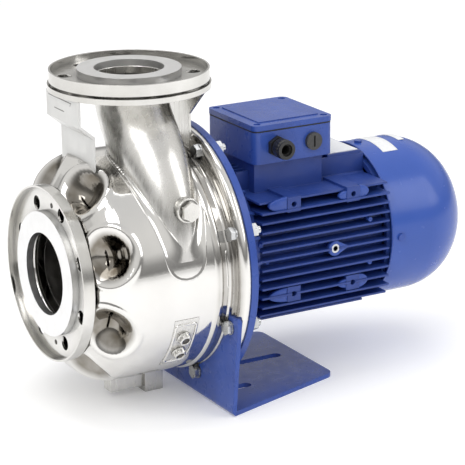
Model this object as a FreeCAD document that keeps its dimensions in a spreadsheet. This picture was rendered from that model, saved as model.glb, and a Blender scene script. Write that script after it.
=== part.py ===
import FreeCAD, Part
import math
import os

import Sketcher

# Centrifugal pump with its electric motor.
# +X runs along the shaft from the suction flange to the fan, +Z is up and +Y is the far side.
# The origin is the centre of the suction flange's sealing face, on the shaft axis.

doc = FreeCAD.newDocument("CentrifugalPump")


class Size:
    """A length with the sheet formula that it comes from."""

    def __init__(self, value, formula):
        self.value = value
        self.formula = formula

    def __add__(self, other):
        other = as_size(other)
        return Size(self.value + other.value, f"({self.formula} + {other.formula})")

    def __sub__(self, other):
        other = as_size(other)
        return Size(self.value - other.value, f"({self.formula} - {other.formula})")

    def __rsub__(self, other):
        return as_size(other) - self

    def __mul__(self, other):
        other = as_size(other)
        return Size(self.value * other.value, f"({self.formula} * {other.formula})")

    def __truediv__(self, other):
        other = as_size(other)
        return Size(self.value / other.value, f"({self.formula} / {other.formula})")

    def __neg__(self):
        return Size(-self.value, f"(0 - {self.formula})")

    __radd__ = __add__
    __rmul__ = __mul__


def as_size(number):
    """A plain number as a Size."""
    if isinstance(number, Size):
        return number
    return Size(float(number), f"{float(number):.6f}")


def cosine(angle):
    """Cosine of an angle in degrees."""
    return Size(math.cos(math.radians(angle.value)), f"cos({angle.formula} * 1 deg)")


def sine(angle):
    """Sine of an angle in degrees."""
    return Size(math.sin(math.radians(angle.value)), f"sin({angle.formula} * 1 deg)")


def root(square):
    """Square root."""
    return Size(math.sqrt(square.value), f"sqrt({square.formula})")


ZERO = as_size(0)
sheet = doc.addObject("Spreadsheet::Sheet", "Sizes")
sheet_row = [0]


def size(alias, value, note):
    """Writes one driving dimension on its own row of the sheet."""
    sheet_row[0] += 1
    sheet.set(f"A{sheet_row[0]}", note)
    sheet.set(f"B{sheet_row[0]}", str(value))
    sheet.setAlias(f"B{sheet_row[0]}", alias)
    return Size(float(value), f"Sizes.{alias}")


def bind(thing, prop, length):
    """Ties a property to the sheet."""
    thing.setExpression(prop, as_size(length).formula)


PLANES = {"side": "XZ_Plane", "end": "YZ_Plane", "floor": "XY_Plane"}
LINES = {"x": "X_Axis", "y": "Y_Axis", "z": "Z_Axis"}


class Piece:
    """One sub-part as a body with its sketches and features."""

    def __init__(self, label, refine=False):
        self.refine = refine
        self.body = doc.addObject("PartDesign::Body", label)
        self.body.Label = label
        self.body.AllowCompound = True
        self.label = label

    def origin(self, role):
        """The plane or the line of the body's own origin with that role."""
        for item in self.body.Origin.OriginFeatures:
            if item.Role == role:
                return item
        raise ValueError(role)

    def sketch(self, plane, offset=ZERO, swing=ZERO):
        """An empty sketch on an origin plane, moved along its normal and swung about it."""
        sketch = self.body.newObject("Sketcher::SketchObject", f"{self.label}_sketch")
        sketch.AttachmentSupport = [(self.origin(PLANES[plane]), "")]
        sketch.MapMode = "FlatFace"
        turn = FreeCAD.Rotation(FreeCAD.Vector(0, 0, 1), as_size(swing).value)
        sketch.AttachmentOffset = FreeCAD.Placement(FreeCAD.Vector(0, 0, 0), turn)
        bind(sketch, "AttachmentOffset.Base.z", offset)
        if as_size(swing).formula != ZERO.formula:
            sketch.setExpression("AttachmentOffset.Rotation.Angle", as_size(swing).formula)
        return sketch

    def outline(self, sketch, points):
        """Adds a closed polygon whose corners are (across, up) sizes."""
        corners = [(as_size(a), as_size(b)) for a, b in points]
        first = sketch.GeometryCount
        count = len(corners)
        for i in range(count):
            start, end = corners[i], corners[(i + 1) % count]
            sketch.addGeometry(
                Part.LineSegment(
                    FreeCAD.Vector(start[0].value, start[1].value, 0),
                    FreeCAD.Vector(end[0].value, end[1].value, 0),
                ),
                False,
            )
        for i in range(count):
            sketch.addConstraint(
                Sketcher.Constraint("Coincident", first + i, 2, first + (i + 1) % count, 1)
            )
        for i, (across, up) in enumerate(corners):
            pin_point(sketch, first + i, 1, across, up)
        return sketch

    def circle(self, sketch, across, up, radius):
        """Adds a circle."""
        across, up, radius = as_size(across), as_size(up), as_size(radius)
        centre = FreeCAD.Vector(across.value, up.value, 0)
        normal = FreeCAD.Vector(0, 0, 1)
        index = sketch.addGeometry(Part.Circle(centre, normal, radius.value), False)
        pin_point(sketch, index, 3, across, up)
        row = sketch.addConstraint(Sketcher.Constraint("Radius", index, radius.value))
        bind(sketch, f"Constraints[{row}]", radius)
        return sketch

    def slot(self, sketch, across, up, half_run, radius, upright=False):
        """Adds a round-ended slot that runs across the sketch, or up it."""
        across, up = as_size(across), as_size(up)
        ends = []
        for way in (-1, 1):
            reach = half_run * way
            ends.append((across, up + reach) if upright else (across + reach, up))
        bow = math.pi / 2
        lean = 0 if upright else -math.pi / 2
        (low_a, low_b), (high_a, high_b) = ends
        normal = FreeCAD.Vector(0, 0, 1)
        start = FreeCAD.Vector(low_a.value, low_b.value, 0)
        end = FreeCAD.Vector(high_a.value, high_b.value, 0)
        wide = as_size(radius)
        near = sketch.addGeometry(
            Part.ArcOfCircle(Part.Circle(start, normal, wide.value), lean + 2 * bow, lean + 4 * bow)
        )
        far = sketch.addGeometry(
            Part.ArcOfCircle(Part.Circle(end, normal, wide.value), lean, lean + 2 * bow)
        )
        side = FreeCAD.Vector(wide.value, 0, 0) if upright else FreeCAD.Vector(0, wide.value, 0)
        low_line = sketch.addGeometry(Part.LineSegment(start + side * (1 if upright else -1),
                                                       end + side * (1 if upright else -1)))
        high_line = sketch.addGeometry(Part.LineSegment(end - side * (1 if upright else -1),
                                                        start - side * (1 if upright else -1)))
        for one, one_end, other, other_end in (
            (near, 2, low_line, 1),
            (low_line, 2, far, 1),
            (far, 2, high_line, 1),
            (high_line, 2, near, 1),
        ):
            sketch.addConstraint(Sketcher.Constraint("Tangent", one, one_end, other, other_end))
        pin_point(sketch, near, 3, low_a, low_b)
        pin_point(sketch, far, 3, high_a, high_b)
        row = sketch.addConstraint(Sketcher.Constraint("Radius", far, wide.value))
        bind(sketch, f"Constraints[{row}]", wide)
        return sketch

    def half_ring(self, sketch, centre, inner, outer):
        """Adds the upper half of a ring whose centre is on the sketch's across axis."""
        spot = FreeCAD.Vector(centre.value, 0, 0)
        normal = FreeCAD.Vector(0, 0, 1)
        arcs = []
        for radius in (inner, outer):
            arc = sketch.addGeometry(
                Part.ArcOfCircle(Part.Circle(spot, normal, radius.value), 0, math.pi)
            )
            row = sketch.addConstraint(Sketcher.Constraint("Radius", arc, radius.value))
            bind(sketch, f"Constraints[{row}]", radius)
            pin_point(sketch, arc, 3, centre, ZERO)
            arcs.append(arc)
        for end, way in ((1, 1), (2, -1)):
            near = FreeCAD.Vector(centre.value + inner.value * way, 0, 0)
            far = FreeCAD.Vector(centre.value + outer.value * way, 0, 0)
            line = sketch.addGeometry(Part.LineSegment(near, far))
            sketch.addConstraint(Sketcher.Constraint("Coincident", line, 1, arcs[0], end))
            sketch.addConstraint(Sketcher.Constraint("Coincident", line, 2, arcs[1], end))
            sketch.addConstraint(Sketcher.Constraint("Horizontal", line))
        return sketch

    def feature(self, kind, **values):
        """Adds a feature and sets its plain properties."""
        made = self.body.newObject(f"PartDesign::{kind}", f"{self.label}_{kind.lower()}")
        made.Refine = self.refine
        for key, value in values.items():
            setattr(made, key, value)
        return made

    def turn(self, points, cut=False):
        """Turns a profile of (along, radius) corners about the shaft axis."""
        sketch = self.outline(self.sketch("side"), points)
        made = self.feature("Groove" if cut else "Revolution", Profile=sketch)
        made.ReferenceAxis = (sketch, ["H_Axis"])
        made.Angle = 360
        return made

    def pad(self, sketch, length, both=False, back=False):
        """Pads a sketch along its plane's normal."""
        made = self.feature("Pad", Profile=sketch, Midplane=both, Reversed=back)
        bind(made, "Length", length)
        return made

    def pocket(self, sketch, length, both=False, forward=False):
        """Cuts a sketch against its plane's normal, or along it."""
        made = self.feature("Pocket", Profile=sketch, Midplane=both, Reversed=forward)
        bind(made, "Length", length)
        return made

    def around(self, features, count, line="x", angle=360):
        """Repeats features about an axis."""
        made = self.feature("PolarPattern", Originals=features)
        made.Axis = (self.origin(LINES[line]), [""])
        made.Angle = angle
        bind(made, "Occurrences", count)
        self.body.Tip = made
        return made

    def along(self, features, count, span, line="z"):
        """Repeats features along an axis, over a whole span."""
        made = self.feature("LinearPattern", Originals=features)
        made.Direction = (self.origin(LINES[line]), [""])
        bind(made, "Length", span)
        bind(made, "Occurrences", count)
        self.body.Tip = made
        return made

    def soften(self, wanted, radius, kind="Fillet"):
        """Rounds or chamfers the edges that a test picks."""
        doc.recompute()
        base = self.body.Tip
        names = [
            f"Edge{i + 1}" for i, edge in enumerate(base.Shape.Edges) if wanted(edge)
        ]
        if not names:
            raise ValueError(f"{self.label}: no edge to soften")
        made = self.feature(kind, Base=(base, names))
        bind(made, "Radius" if kind == "Fillet" else "Size", radius)
        return made


def pin_point(sketch, index, end, across, up):
    """Holds one point of a sketch at its two sizes."""
    for word, length, axis in (("DistanceX", across, -2), ("DistanceY", up, -1)):
        if length.formula == ZERO.formula:
            sketch.addConstraint(Sketcher.Constraint("PointOnObject", index, end, axis))
            continue
        row = sketch.addConstraint(
            Sketcher.Constraint(word, -1, 1, index, end, length.value)
        )
        bind(sketch, f"Constraints[{row}]", length)


# Driving dimensions, in millimetres and degrees

wall = size("wall", 2.5, "stainless sheet")
wall_lead = size("wall_lead", 0.8, "how far the inside of the front leads its outside, in walls")
seat_gap = size("seat_gap", 0.05, "radial gap of pieces seated in each other")
run_gap = size("run_gap", 0.3, "gap between turning and still pieces")
sink = size("sink", 3, "how far a welded piece is drawn into its neighbour before it is cut")

suction_to_discharge = size("suction_to_discharge", 125, "suction face to discharge axis")
axis_height = size("axis_height", 180, "shaft axis above the floor")
discharge_height = size("discharge_height", 250, "discharge face above the shaft axis")
bolts_on_flange = size("bolts_on_flange", 8, "holes in each pipe flange")
flange_hole = size("flange_hole", 9, "pipe flange hole radius")
half_pitch = size("half_pitch", 22.5, "holes straddle the centre lines")
rim_back = size("rim_back", 0.5, "rim edge behind the sealing face")
rim_depth = size("rim_depth", 14.5, "rim length along the flange axis")
web_back = size("web_back", 9, "dished web behind the sealing face")
suction_bore = size("suction_bore", 52.5, "suction bore radius")
suction_rim = size("suction_rim", 112, "suction rim radius")
suction_face = size("suction_face", 79.5, "suction raised face radius")
suction_pitch = size("suction_pitch", 90, "suction bolt circle radius")
discharge_bore = size("discharge_bore", 44, "discharge bore radius")
discharge_rim = size("discharge_rim", 100.5, "discharge rim radius")
discharge_face = size("discharge_face", 65.5, "discharge raised face radius")
discharge_pitch = size("discharge_pitch", 80, "discharge bolt circle radius")
backing_gap = size("backing_gap", 3, "gap between discharge rim and backing ring")
backing_depth = size("backing_depth", 7, "backing ring depth")
backing_rim = size("backing_rim", 102.5, "backing ring radius")

neck_end = size("neck_end", 18, "end of the straight suction neck")
throat_along = size("throat_along", 21, "root of the casing front")
throat_radius = size("throat_radius", 90, "radius there")
brow_along = size("brow_along", 34.5, "brow of the casing front")
brow_radius = size("brow_radius", 122, "radius there")
shoulder_along = size("shoulder_along", 48, "shoulder of the casing front")
shoulder_radius = size("shoulder_radius", 140, "radius there")
drum_start = size("drum_start", 59, "front end of the straight drum")
drum_radius = size("drum_radius", 145, "drum radius")
drum_end = size("drum_end", 166, "rear end of the straight drum")
step_along = size("step_along", 4, "length of the slope up to the step")
step_rise = size("step_rise", 2.8, "height of the step")
seat_along = size("seat_along", 190, "front face of the casing flange")
lip_radius = size("lip_radius", 168, "casing flange radius")
lip_slope = size("lip_slope", 3, "slope at the edge of the casing flange")
disc_front = size("disc_front", 200.7, "front face of the adapter disc")
pockets = size("pockets", 8, "pockets behind the suction flange")
pocket_along = size("pocket_along", 38, "pocket centre from the suction face")
pocket_pitch = size("pocket_pitch", 118, "pocket centre from the shaft axis")
pocket_radius = size("pocket_radius", 34, "pocket radius")

horn_radius = size("horn_radius", 46, "discharge pipe radius")
horn_straight = size("horn_straight", 222, "height where the pipe starts to bend")
bend_aside = size("bend_aside", 14, "pipe centre aside at the bend")
bend_height = size("bend_height", 190, "pipe centre height at the bend")
bend_lean = size("bend_lean", 26, "lean of the pipe at the bend")
horn_start = size("horn_start", 75, "angle round the shaft where the taper starts")
horn_stop = size("horn_stop", 5, "angle round the shaft of the tip")
horn_proud = size("horn_proud", 62, "how far the pipe stands out of the drum at its start")
horn_fall = size("horn_fall", 1.75, "power law of the pipe's outer line")
horn_taper = size("horn_taper", 0.45, "power law of the pipe's radius")
horn_lean_start = size("horn_lean_start", 44, "lean of the pipe where the taper starts")
horn_lean_stop = size("horn_lean_stop", 22, "lean of the pipe at its tip")

disc_thick = size("disc_thick", 9.7, "adapter disc thickness")
disc_radius = size("disc_radius", 170.5, "adapter disc radius")
disc_hole = size("disc_hole", 24, "adapter disc centre hole radius")
casing_bolts = size("casing_bolts", 8, "casing bolts")
bolt_pitch = size("bolt_pitch", 158, "casing bolt circle radius")
bolt_radius = size("bolt_radius", 5, "casing bolt shank radius")
bolt_across = size("bolt_across", 16, "bolt and nut width across flats")
head_high = size("head_high", 6.4, "bolt head height")
nut_high = size("nut_high", 8, "nut height")
washer_thick = size("washer_thick", 2, "washer thickness")
washer_radius = size("washer_radius", 9.4, "washer radius")
bolt_spare = size("bolt_spare", 5, "bolt end past its nut")
hole_slack = size("hole_slack", 0.4, "radial slack of a bolt in its hole")

foot_thick = size("foot_thick", 6, "foot plate thickness")
foot_half_front = size("foot_half_front", 149, "half width of the foot at its upright plate")
foot_half_top = size("foot_half_top", 165, "half width of the foot's upright plate at its top")
foot_half_back = size("foot_half_back", 92, "half width of the foot at its back")
foot_long = size("foot_long", 186, "foot length along the shaft")
foot_top = size("foot_top", 46, "upright plate's top below the shaft axis")
foot_bend = size("foot_bend", 9, "outside radius of the foot's bend")
foot_corner = size("foot_corner", 12, "foot corner radius")
slot_radius = size("slot_radius", 7, "foot slot half width")
side_slot_aside = size("side_slot_aside", 74, "side slots from the middle")
side_slot_along = size("side_slot_along", 46, "side slot centre behind the upright plate")
side_slot_half = size("side_slot_half", 18, "half the run of a side slot")
long_slot_along = size("long_slot_along", 128, "middle slot centre behind the upright plate")
long_slot_half = size("long_slot_half", 26, "half the run of the middle slot")

made_pieces = []


def keep(thing, label):
    """Counts an object as a sub-part of the pump under its own label."""
    thing.Label = label
    made_pieces.append(thing)
    return thing


def cut(label, base, *tools):
    """Cuts tools from a base, one after the other."""
    for i, tool in enumerate(tools):
        made = doc.addObject("Part::Cut", f"{label}_cut{i}")
        made.Base = base
        made.Tool = tool
        base = made
    return made


def fuse(label, *things):
    """Joins things into one."""
    made = doc.addObject("Part::MultiFuse", f"{label}_fuse")
    made.Shapes = list(things)
    return made


def place(thing, along=ZERO, aside=ZERO, height=ZERO, axis=(1, 0, 0), angle=ZERO):
    """Places an object by sizes, turned about one axis."""
    thing.Placement = FreeCAD.Placement(
        FreeCAD.Vector(0, 0, 0),
        FreeCAD.Rotation(FreeCAD.Vector(*axis), as_size(angle).value),
    )
    bind(thing, "Placement.Base.x", along)
    bind(thing, "Placement.Base.y", aside)
    bind(thing, "Placement.Base.z", height)
    if as_size(angle).formula != ZERO.formula:
        bind(thing, "Placement.Rotation.Angle", angle)
    return thing


def ring_points(start, end, inner, outer):
    """Profile of a plain ring."""
    return [(start, inner), (start, outer), (end, outer), (end, inner)]


def hexagon(across, up, flats):
    """Corners of a hexagon with two flats upright."""
    half = flats / 2
    tall = flats / root(as_size(3))
    return [
        (across + half, up + tall / 2),
        (across, up + tall),
        (across - half, up + tall / 2),
        (across - half, up - tall / 2),
        (across, up - tall),
        (across + half, up - tall / 2),
    ]


def pressed_flange(label, rim, hub, pitch):
    """A dished pressed flange with its bolt holes, facing -X."""
    piece = Piece(label)
    piece.turn([
        (rim_back, rim - wall), (rim_back, rim),
        (rim_back + rim_depth, rim), (rim_back + rim_depth, rim - wall),
        (web_back + wall, rim - wall), (web_back + wall, hub + seat_gap),
        (web_back, hub + seat_gap), (web_back, rim - wall),
    ])
    hole = piece.pocket(
        piece.circle(piece.sketch("end", web_back, half_pitch), ZERO, pitch, flange_hole),
        wall, forward=True,
    )
    piece.around([hole], bolts_on_flange)
    return piece.body


def stand_up(thing, along, height):
    """Turns an object that faces -X so that it faces up at a height."""
    return place(thing, along, ZERO, height, (0, 1, 0), as_size(90))


# Suction side

keep(pressed_flange("suction_flange", suction_rim, suction_bore + wall, suction_pitch), "suction_flange")

face_ring = Piece("suction_face_ring")
face_ring.turn(ring_points(ZERO, web_back, suction_bore, suction_face))
keep(face_ring.body, "suction_face_ring")

# Casing: a drum with a stepped rear flange and pockets behind the suction flange

slope = [
    (throat_along, throat_radius), (brow_along, brow_radius), (shoulder_along, shoulder_radius),
]
skin = Piece("casing_skin")
skin.turn(
    [(web_back, ZERO), (web_back, suction_bore + wall), (neck_end, suction_bore + wall)]
    + slope
    + [
        (drum_start, drum_radius), (drum_end, drum_radius),
        (drum_end + step_along, drum_radius + step_rise),
        (seat_along, drum_radius + step_rise),
        (seat_along, lip_radius - lip_slope), (seat_along + lip_slope, lip_radius),
        (disc_front, lip_radius), (disc_front, ZERO),
    ]
)
hollow = Piece("casing_hollow")
hollow.turn(
    [(ZERO, ZERO), (ZERO, suction_bore), (neck_end + wall, suction_bore)]
    + [(along + wall * wall_lead, radius - wall) for along, radius in slope]
    + [
        (drum_start + wall / 2, drum_radius - wall), (drum_end + wall / 2, drum_radius - wall),
        (drum_end + wall / 2 + step_along, drum_radius + step_rise - wall),
        (seat_along + wall, drum_radius + step_rise - wall),
        (seat_along + wall, lip_radius - wall), (disc_front + wall, lip_radius - wall),
        (disc_front + wall, ZERO),
    ]
)


def pocket_balls(label, radius):
    """The balls that the pockets are pressed with."""
    piece = Piece(label)
    ball = piece.feature("AdditiveSphere")
    ball.AttachmentSupport = [(piece.origin("YZ_Plane"), "")]
    ball.MapMode = "FlatFace"
    bind(ball, "Radius", radius)
    bind(ball, "AttachmentOffset.Base.x", pocket_pitch * sine(half_pitch))
    bind(ball, "AttachmentOffset.Base.y", pocket_pitch * cosine(half_pitch))
    bind(ball, "AttachmentOffset.Base.z", pocket_along)
    piece.around([ball], pockets)
    return piece.body


def horn(label, radius_cut):
    """The discharge pipe as one loft: straight down, then tapering round the drum."""
    steps = 7
    rows = [
        (ZERO, discharge_height - web_back, horn_radius, ZERO),
        (ZERO, horn_straight, horn_radius, ZERO),
        (bend_aside, bend_height, horn_radius, bend_lean),
    ]
    for i in range(steps):
        share = 1 - (1 - horn_stop.value / horn_start.value) * i / (steps - 1)
        angle = horn_start * share
        radius = horn_radius * Size(share ** horn_taper.value, f"{share:.6f} ^ {horn_taper.formula}")
        proud = horn_proud * Size(share ** horn_fall.value, f"{share:.6f} ^ {horn_fall.formula}")
        reach = drum_radius + proud - radius
        lean = horn_lean_stop + (horn_lean_start - horn_lean_stop) * share
        rows.append((reach * cosine(angle), reach * sine(angle), radius, lean))
    rings = []
    for i, (aside, height, radius, lean) in enumerate(rows):
        ring = doc.addObject("Part::Circle", f"{label}_ring{i}")
        bind(ring, "Radius", radius - radius_cut)
        place(ring, suction_to_discharge, -as_size(aside), height, (1, 0, 0), -as_size(lean))
        rings.append(ring)
    loft = doc.addObject("Part::Loft", label)
    loft.Sections = rings
    loft.Solid = True
    return loft


horn_outside = horn("horn_outside", ZERO)
horn_inside = horn("horn_inside", wall)
shell_outside = cut("shell_outside", skin.body, pocket_balls("pocket_small", pocket_radius))
shell_inside = cut("shell_inside", hollow.body, pocket_balls("pocket_large", pocket_radius + wall))
# Discharge side

discharge_dish = stand_up(
    pressed_flange("discharge_dish", discharge_rim, horn_radius - wall, discharge_pitch),
    suction_to_discharge, discharge_height,
)
keep(cut("discharge_flange", discharge_dish, horn_outside), "discharge_flange")
top_ring = Piece("discharge_face_ring")
top_ring.turn(ring_points(ZERO, web_back, discharge_bore, discharge_face))
keep(stand_up(top_ring.body, suction_to_discharge, discharge_height), "discharge_face_ring")

backing_height = discharge_height - rim_back - rim_depth - backing_gap
backing = Piece("backing_dish")
backing.turn([
    (ZERO, backing_rim - wall), (ZERO, backing_rim), (backing_depth, backing_rim),
    (backing_depth, horn_radius - wall), (backing_depth - wall, horn_radius - wall),
    (backing_depth - wall, backing_rim - wall),
])
backing_dish = stand_up(backing.body, suction_to_discharge, backing_height)
keep(cut("discharge_backing_ring", backing_dish, horn_outside), "discharge_backing_ring")

# Sheet brackets between the backing ring and the casing

bracket_half = size("bracket_half", 45, "half width of the front bracket")
bracket_ahead = size("bracket_ahead", 93, "front bracket's upper leaf ahead of the discharge axis")
bracket_inset = size("bracket_inset", 19, "set-back of the lower leaf")
bracket_fold_top = size("bracket_fold_top", 192, "height of the upper fold")
bracket_fold_low = size("bracket_fold_low", 176, "height of the lower fold")
bracket_low = size("bracket_low", 126, "bottom of the lower leaf")

leaf_front = suction_to_discharge - bracket_ahead
leaf_back = leaf_front + bracket_inset
backing_low = backing_height - backing_depth
bracket = Piece("front_bracket_sheet")
bracket.pad(bracket.outline(bracket.sketch("side"), [
    (leaf_front, backing_low), (leaf_front, bracket_fold_top),
    (leaf_back, bracket_fold_low), (leaf_back, bracket_low),
    (leaf_back + wall, bracket_low), (leaf_back + wall, bracket_fold_low + wall),
    (leaf_front + wall, bracket_fold_top + wall), (leaf_front + wall, backing_low),
]), bracket_half * 2, both=True)
keep(cut("front_bracket", bracket.body, skin.body), "front_bracket")

gusset_top_half = size("gusset_top_half", 78, "half width of the gusset at the backing ring")
gusset_half = size("gusset_half", 40, "half width of the gusset's straight part")
gusset_fold = size("gusset_fold", 190, "height where the gusset becomes straight")
gusset = Piece("rear_gusset_sheet")
gusset.pad(gusset.outline(gusset.sketch("end", seat_along - wall), [
    (-gusset_top_half, backing_low), (-gusset_half, gusset_fold), (-gusset_half, drum_radius - wall),
    (gusset_half, drum_radius - wall), (gusset_half, gusset_fold), (gusset_top_half, backing_low),
]), wall)
keep(cut("rear_gusset", gusset.body, skin.body), "rear_gusset")

# Lug under the drum

lug_front = size("lug_front", 84, "front end of the lug's bar")
lug_join = size("lug_join", 131, "where the bar meets the block")
lug_end = size("lug_end", 157, "rear end of the block")
lug_bar_half = size("lug_bar_half", 10, "half width of the bar")
lug_block_half = size("lug_block_half", 15, "half width of the block")
lug_bar_low = size("lug_bar_low", 7, "bar above the floor")
lug = Piece("casing_lug_blank")
lug.pad(lug.outline(lug.sketch("side"), [
    (lug_front, -axis_height + lug_bar_low), (lug_join, -axis_height + lug_bar_low),
    (lug_join, -drum_radius + sink), (lug_front, -drum_radius + sink),
]), lug_bar_half * 2, both=True)
lug.pad(lug.outline(lug.sketch("side"), [
    (lug_join, -axis_height + run_gap), (lug_end, -axis_height + run_gap),
    (lug_end, -drum_radius + sink), (lug_join, -drum_radius + sink),
]), lug_block_half * 2, both=True)
keep(cut("casing_lug", lug.body, skin.body), "casing_lug")

# Plugs

plug_across = size("plug_across", 22, "filling plug width across flats")
plug_high = size("plug_high", 9, "filling plug head height")
plug_thread = size("plug_thread", 8, "plug thread radius")
boss_radius = size("boss_radius", 14, "filling boss radius")
boss_high = size("boss_high", 140, "filling boss face from the shaft axis, sideways")
boss_along = size("boss_along", 130, "filling boss along the shaft")
boss_height = size("boss_height", 98, "filling boss above the shaft axis")
boss_deep = size("boss_deep", 30, "filling boss length")
plug_deep = size("plug_deep", 12, "filling plug thread length")
drain_across = size("drain_across", 14, "drain plug width across flats")
drain_high = size("drain_high", 6, "drain plug head height")
drain_thread = size("drain_thread", 5, "drain plug thread radius")
drain_deep = size("drain_deep", 8, "drain plug thread length")
drain_along = size("drain_along", 125, "drain plugs along the shaft")
drain_angle = size("drain_angle", -32.2, "drain pad angle below the shaft axis")
drain_apart = size("drain_apart", 5.2, "each drain plug's angle from the pad's middle")
pad_thick = size("pad_thick", 3, "drain pad thickness")
pad_half_along = size("pad_half_along", 17, "half length of the drain pad")
pad_spread = size("pad_spread", 33, "angle that the drain pad spans")


def hex_plug(label, across_flats, high, thread, deep):
    """A hex-headed plug along +Z whose head rests on z = 0."""
    piece = Piece(label)
    piece.pad(piece.outline(piece.sketch("floor"), hexagon(ZERO, ZERO, across_flats)), high)
    piece.pad(piece.circle(piece.sketch("floor"), ZERO, ZERO, thread), deep, back=True)
    return piece.body


boss = Piece("filling_boss_blank")
boss.pad(boss.circle(boss.sketch("floor"), ZERO, ZERO, boss_radius), boss_deep, back=True)
boss.pocket(boss.circle(boss.sketch("floor"), ZERO, ZERO, plug_thread + seat_gap), boss_deep)
place(boss.body, boss_along, -boss_high, boss_height, (1, 0, 0), as_size(90))
keep(cut("filling_boss", boss.body, horn_outside), "filling_boss")
plug_bore = Piece("filling_bore")
plug_bore.pad(
    plug_bore.circle(plug_bore.sketch("floor"), ZERO, ZERO, plug_thread + seat_gap), boss_deep, back=True,
)
place(plug_bore.body, boss_along, -boss_high, boss_height, (1, 0, 0), as_size(90))
neck_low = size("neck_low", 206, "height where the discharge neck meets the pipe below it")
above = Piece("above_neck")
above.pad(above.circle(above.sketch("floor", neck_low), suction_to_discharge, ZERO, discharge_rim), horn_radius)
below = Piece("below_neck")
below.pad(
    below.circle(below.sketch("floor", neck_low), suction_to_discharge, ZERO, discharge_height),
    discharge_height * 2, back=True,
)
keep(cut("discharge_neck", horn_outside, horn_inside, below.body), "discharge_neck")
keep(
    cut("discharge_pipe", horn_outside, horn_inside, skin.body, plug_bore.body, above.body), "discharge_pipe",
)
keep(place(
    hex_plug("filling_plug", plug_across, plug_high, plug_thread, plug_deep),
    boss_along, -boss_high, boss_height, (1, 0, 0), as_size(90),
), "filling_plug")

def radial(thing, along, reach, angle):
    """Turns an object that points up so that it points out of the shaft at an angle above -Y."""
    return place(
        thing, along, -(as_size(reach) * cosine(angle)), as_size(reach) * sine(angle),
        (1, 0, 0), 90 - angle,
    )


pad = Piece("drain_pad_blank")
pad_turn = pad.turn(ring_points(
    drain_along - pad_half_along, drain_along + pad_half_along, drum_radius,
    drum_radius + pad_thick,
))
bind(pad_turn, "Angle", pad_spread)
place(pad.body, axis=(1, 0, 0), angle=90 - drain_angle - pad_spread / 2)
drain_face = drum_radius + pad_thick + run_gap
drain_parts = []
drain_bores = []
for way in (-1, 1):
    angle = drain_angle + drain_apart * way
    side = "low" if way < 0 else "high"
    plug = hex_plug(f"drain_plug_{side}", drain_across, drain_high, drain_thread, drain_deep)
    drain_parts.append(radial(plug, drain_along, drain_face, angle))
    bore = Piece(f"drain_bore_{side}")
    bore.pad(
        bore.circle(bore.sketch("floor"), ZERO, ZERO, drain_thread + seat_gap),
        drain_deep * 3, both=True,
    )
    drain_bores.append(radial(bore.body, drain_along, drain_face, angle))
keep(fuse("drain_plugs", *drain_parts), "drain_plugs")
keep(cut("drain_pad", pad.body, *drain_bores), "drain_pad")

# Wet end inside: diaphragm, wear ring, impeller

eye_radius = size("eye_radius", 41, "impeller eye radius")
eye_wall = size("eye_wall", 5, "impeller eye ring wall")
diaphragm_tube = size("diaphragm_tube", 50, "inner radius of the suction diaphragm's tube")
diaphragm_start = size("diaphragm_start", 24, "front end of the diaphragm tube")
diaphragm_along = size("diaphragm_along", 97, "front face of the diaphragm")
wear_long = size("wear_long", 13, "wear ring length")
impeller_front = size("impeller_front", 102, "front end of the impeller eye")
impeller_middle = size("impeller_middle", 125, "middle of the impeller outlet")
impeller_outlet = size("impeller_outlet", 15, "impeller outlet width")
impeller_radius = size("impeller_radius", 101, "impeller radius")
shroud_thick = size("shroud_thick", 3, "impeller shroud thickness")
hub_radius = size("hub_radius", 24, "impeller hub radius")
hub_front = size("hub_front", 112, "impeller hub front face")
hub_back = size("hub_back", 150, "impeller hub rear face")
vanes = size("vanes", 6, "impeller vanes")
vane_thick = size("vane_thick", 3, "vane thickness")
vane_bow = size("vane_bow", 62, "vane bow radius")
shaft_wet = size("shaft_wet", 16, "shaft radius under impeller and seal")
key_half = size("key_half", 4, "half width of the key")
key_low = size("key_low", 12, "key seat height above the axis")
key_top = size("key_top", 19, "key top height above the axis")
key_long = size("key_long", 28, "key length")

tube_outer = suction_bore - seat_gap
diaphragm = Piece("suction_diaphragm")
diaphragm.turn([
    (diaphragm_start, diaphragm_tube), (diaphragm_start, tube_outer),
    (diaphragm_along, tube_outer), (diaphragm_along, drum_radius - wall - seat_gap),
    (diaphragm_along + wall, drum_radius - wall - seat_gap), (diaphragm_along + wall, diaphragm_tube),
])
keep(diaphragm.body, "suction_diaphragm")
wear = Piece("wear_ring")
wear.turn(ring_points(
    diaphragm_along, diaphragm_along + wear_long,
    eye_radius + eye_wall + run_gap, diaphragm_tube - seat_gap,
))
keep(wear.body, "wear_ring")

shroud_front = impeller_middle - impeller_outlet / 2 - shroud_thick
shroud_inner = shroud_front + shroud_thick
back_inner = impeller_middle + impeller_outlet / 2
impeller = Piece("impeller_shrouds")
impeller.turn([
    (impeller_front, eye_radius), (impeller_front, eye_radius + eye_wall),
    (shroud_front, eye_radius + eye_wall), (shroud_front, impeller_radius),
    (shroud_inner, impeller_radius), (shroud_inner, eye_radius),
])
impeller.turn([
    (hub_front, shaft_wet + seat_gap), (hub_front, hub_radius), (back_inner, hub_radius),
    (back_inner, impeller_radius), (back_inner + shroud_thick, impeller_radius),
    (back_inner + shroud_thick, hub_radius), (hub_back, hub_radius),
    (hub_back, shaft_wet + seat_gap),
])


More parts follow.
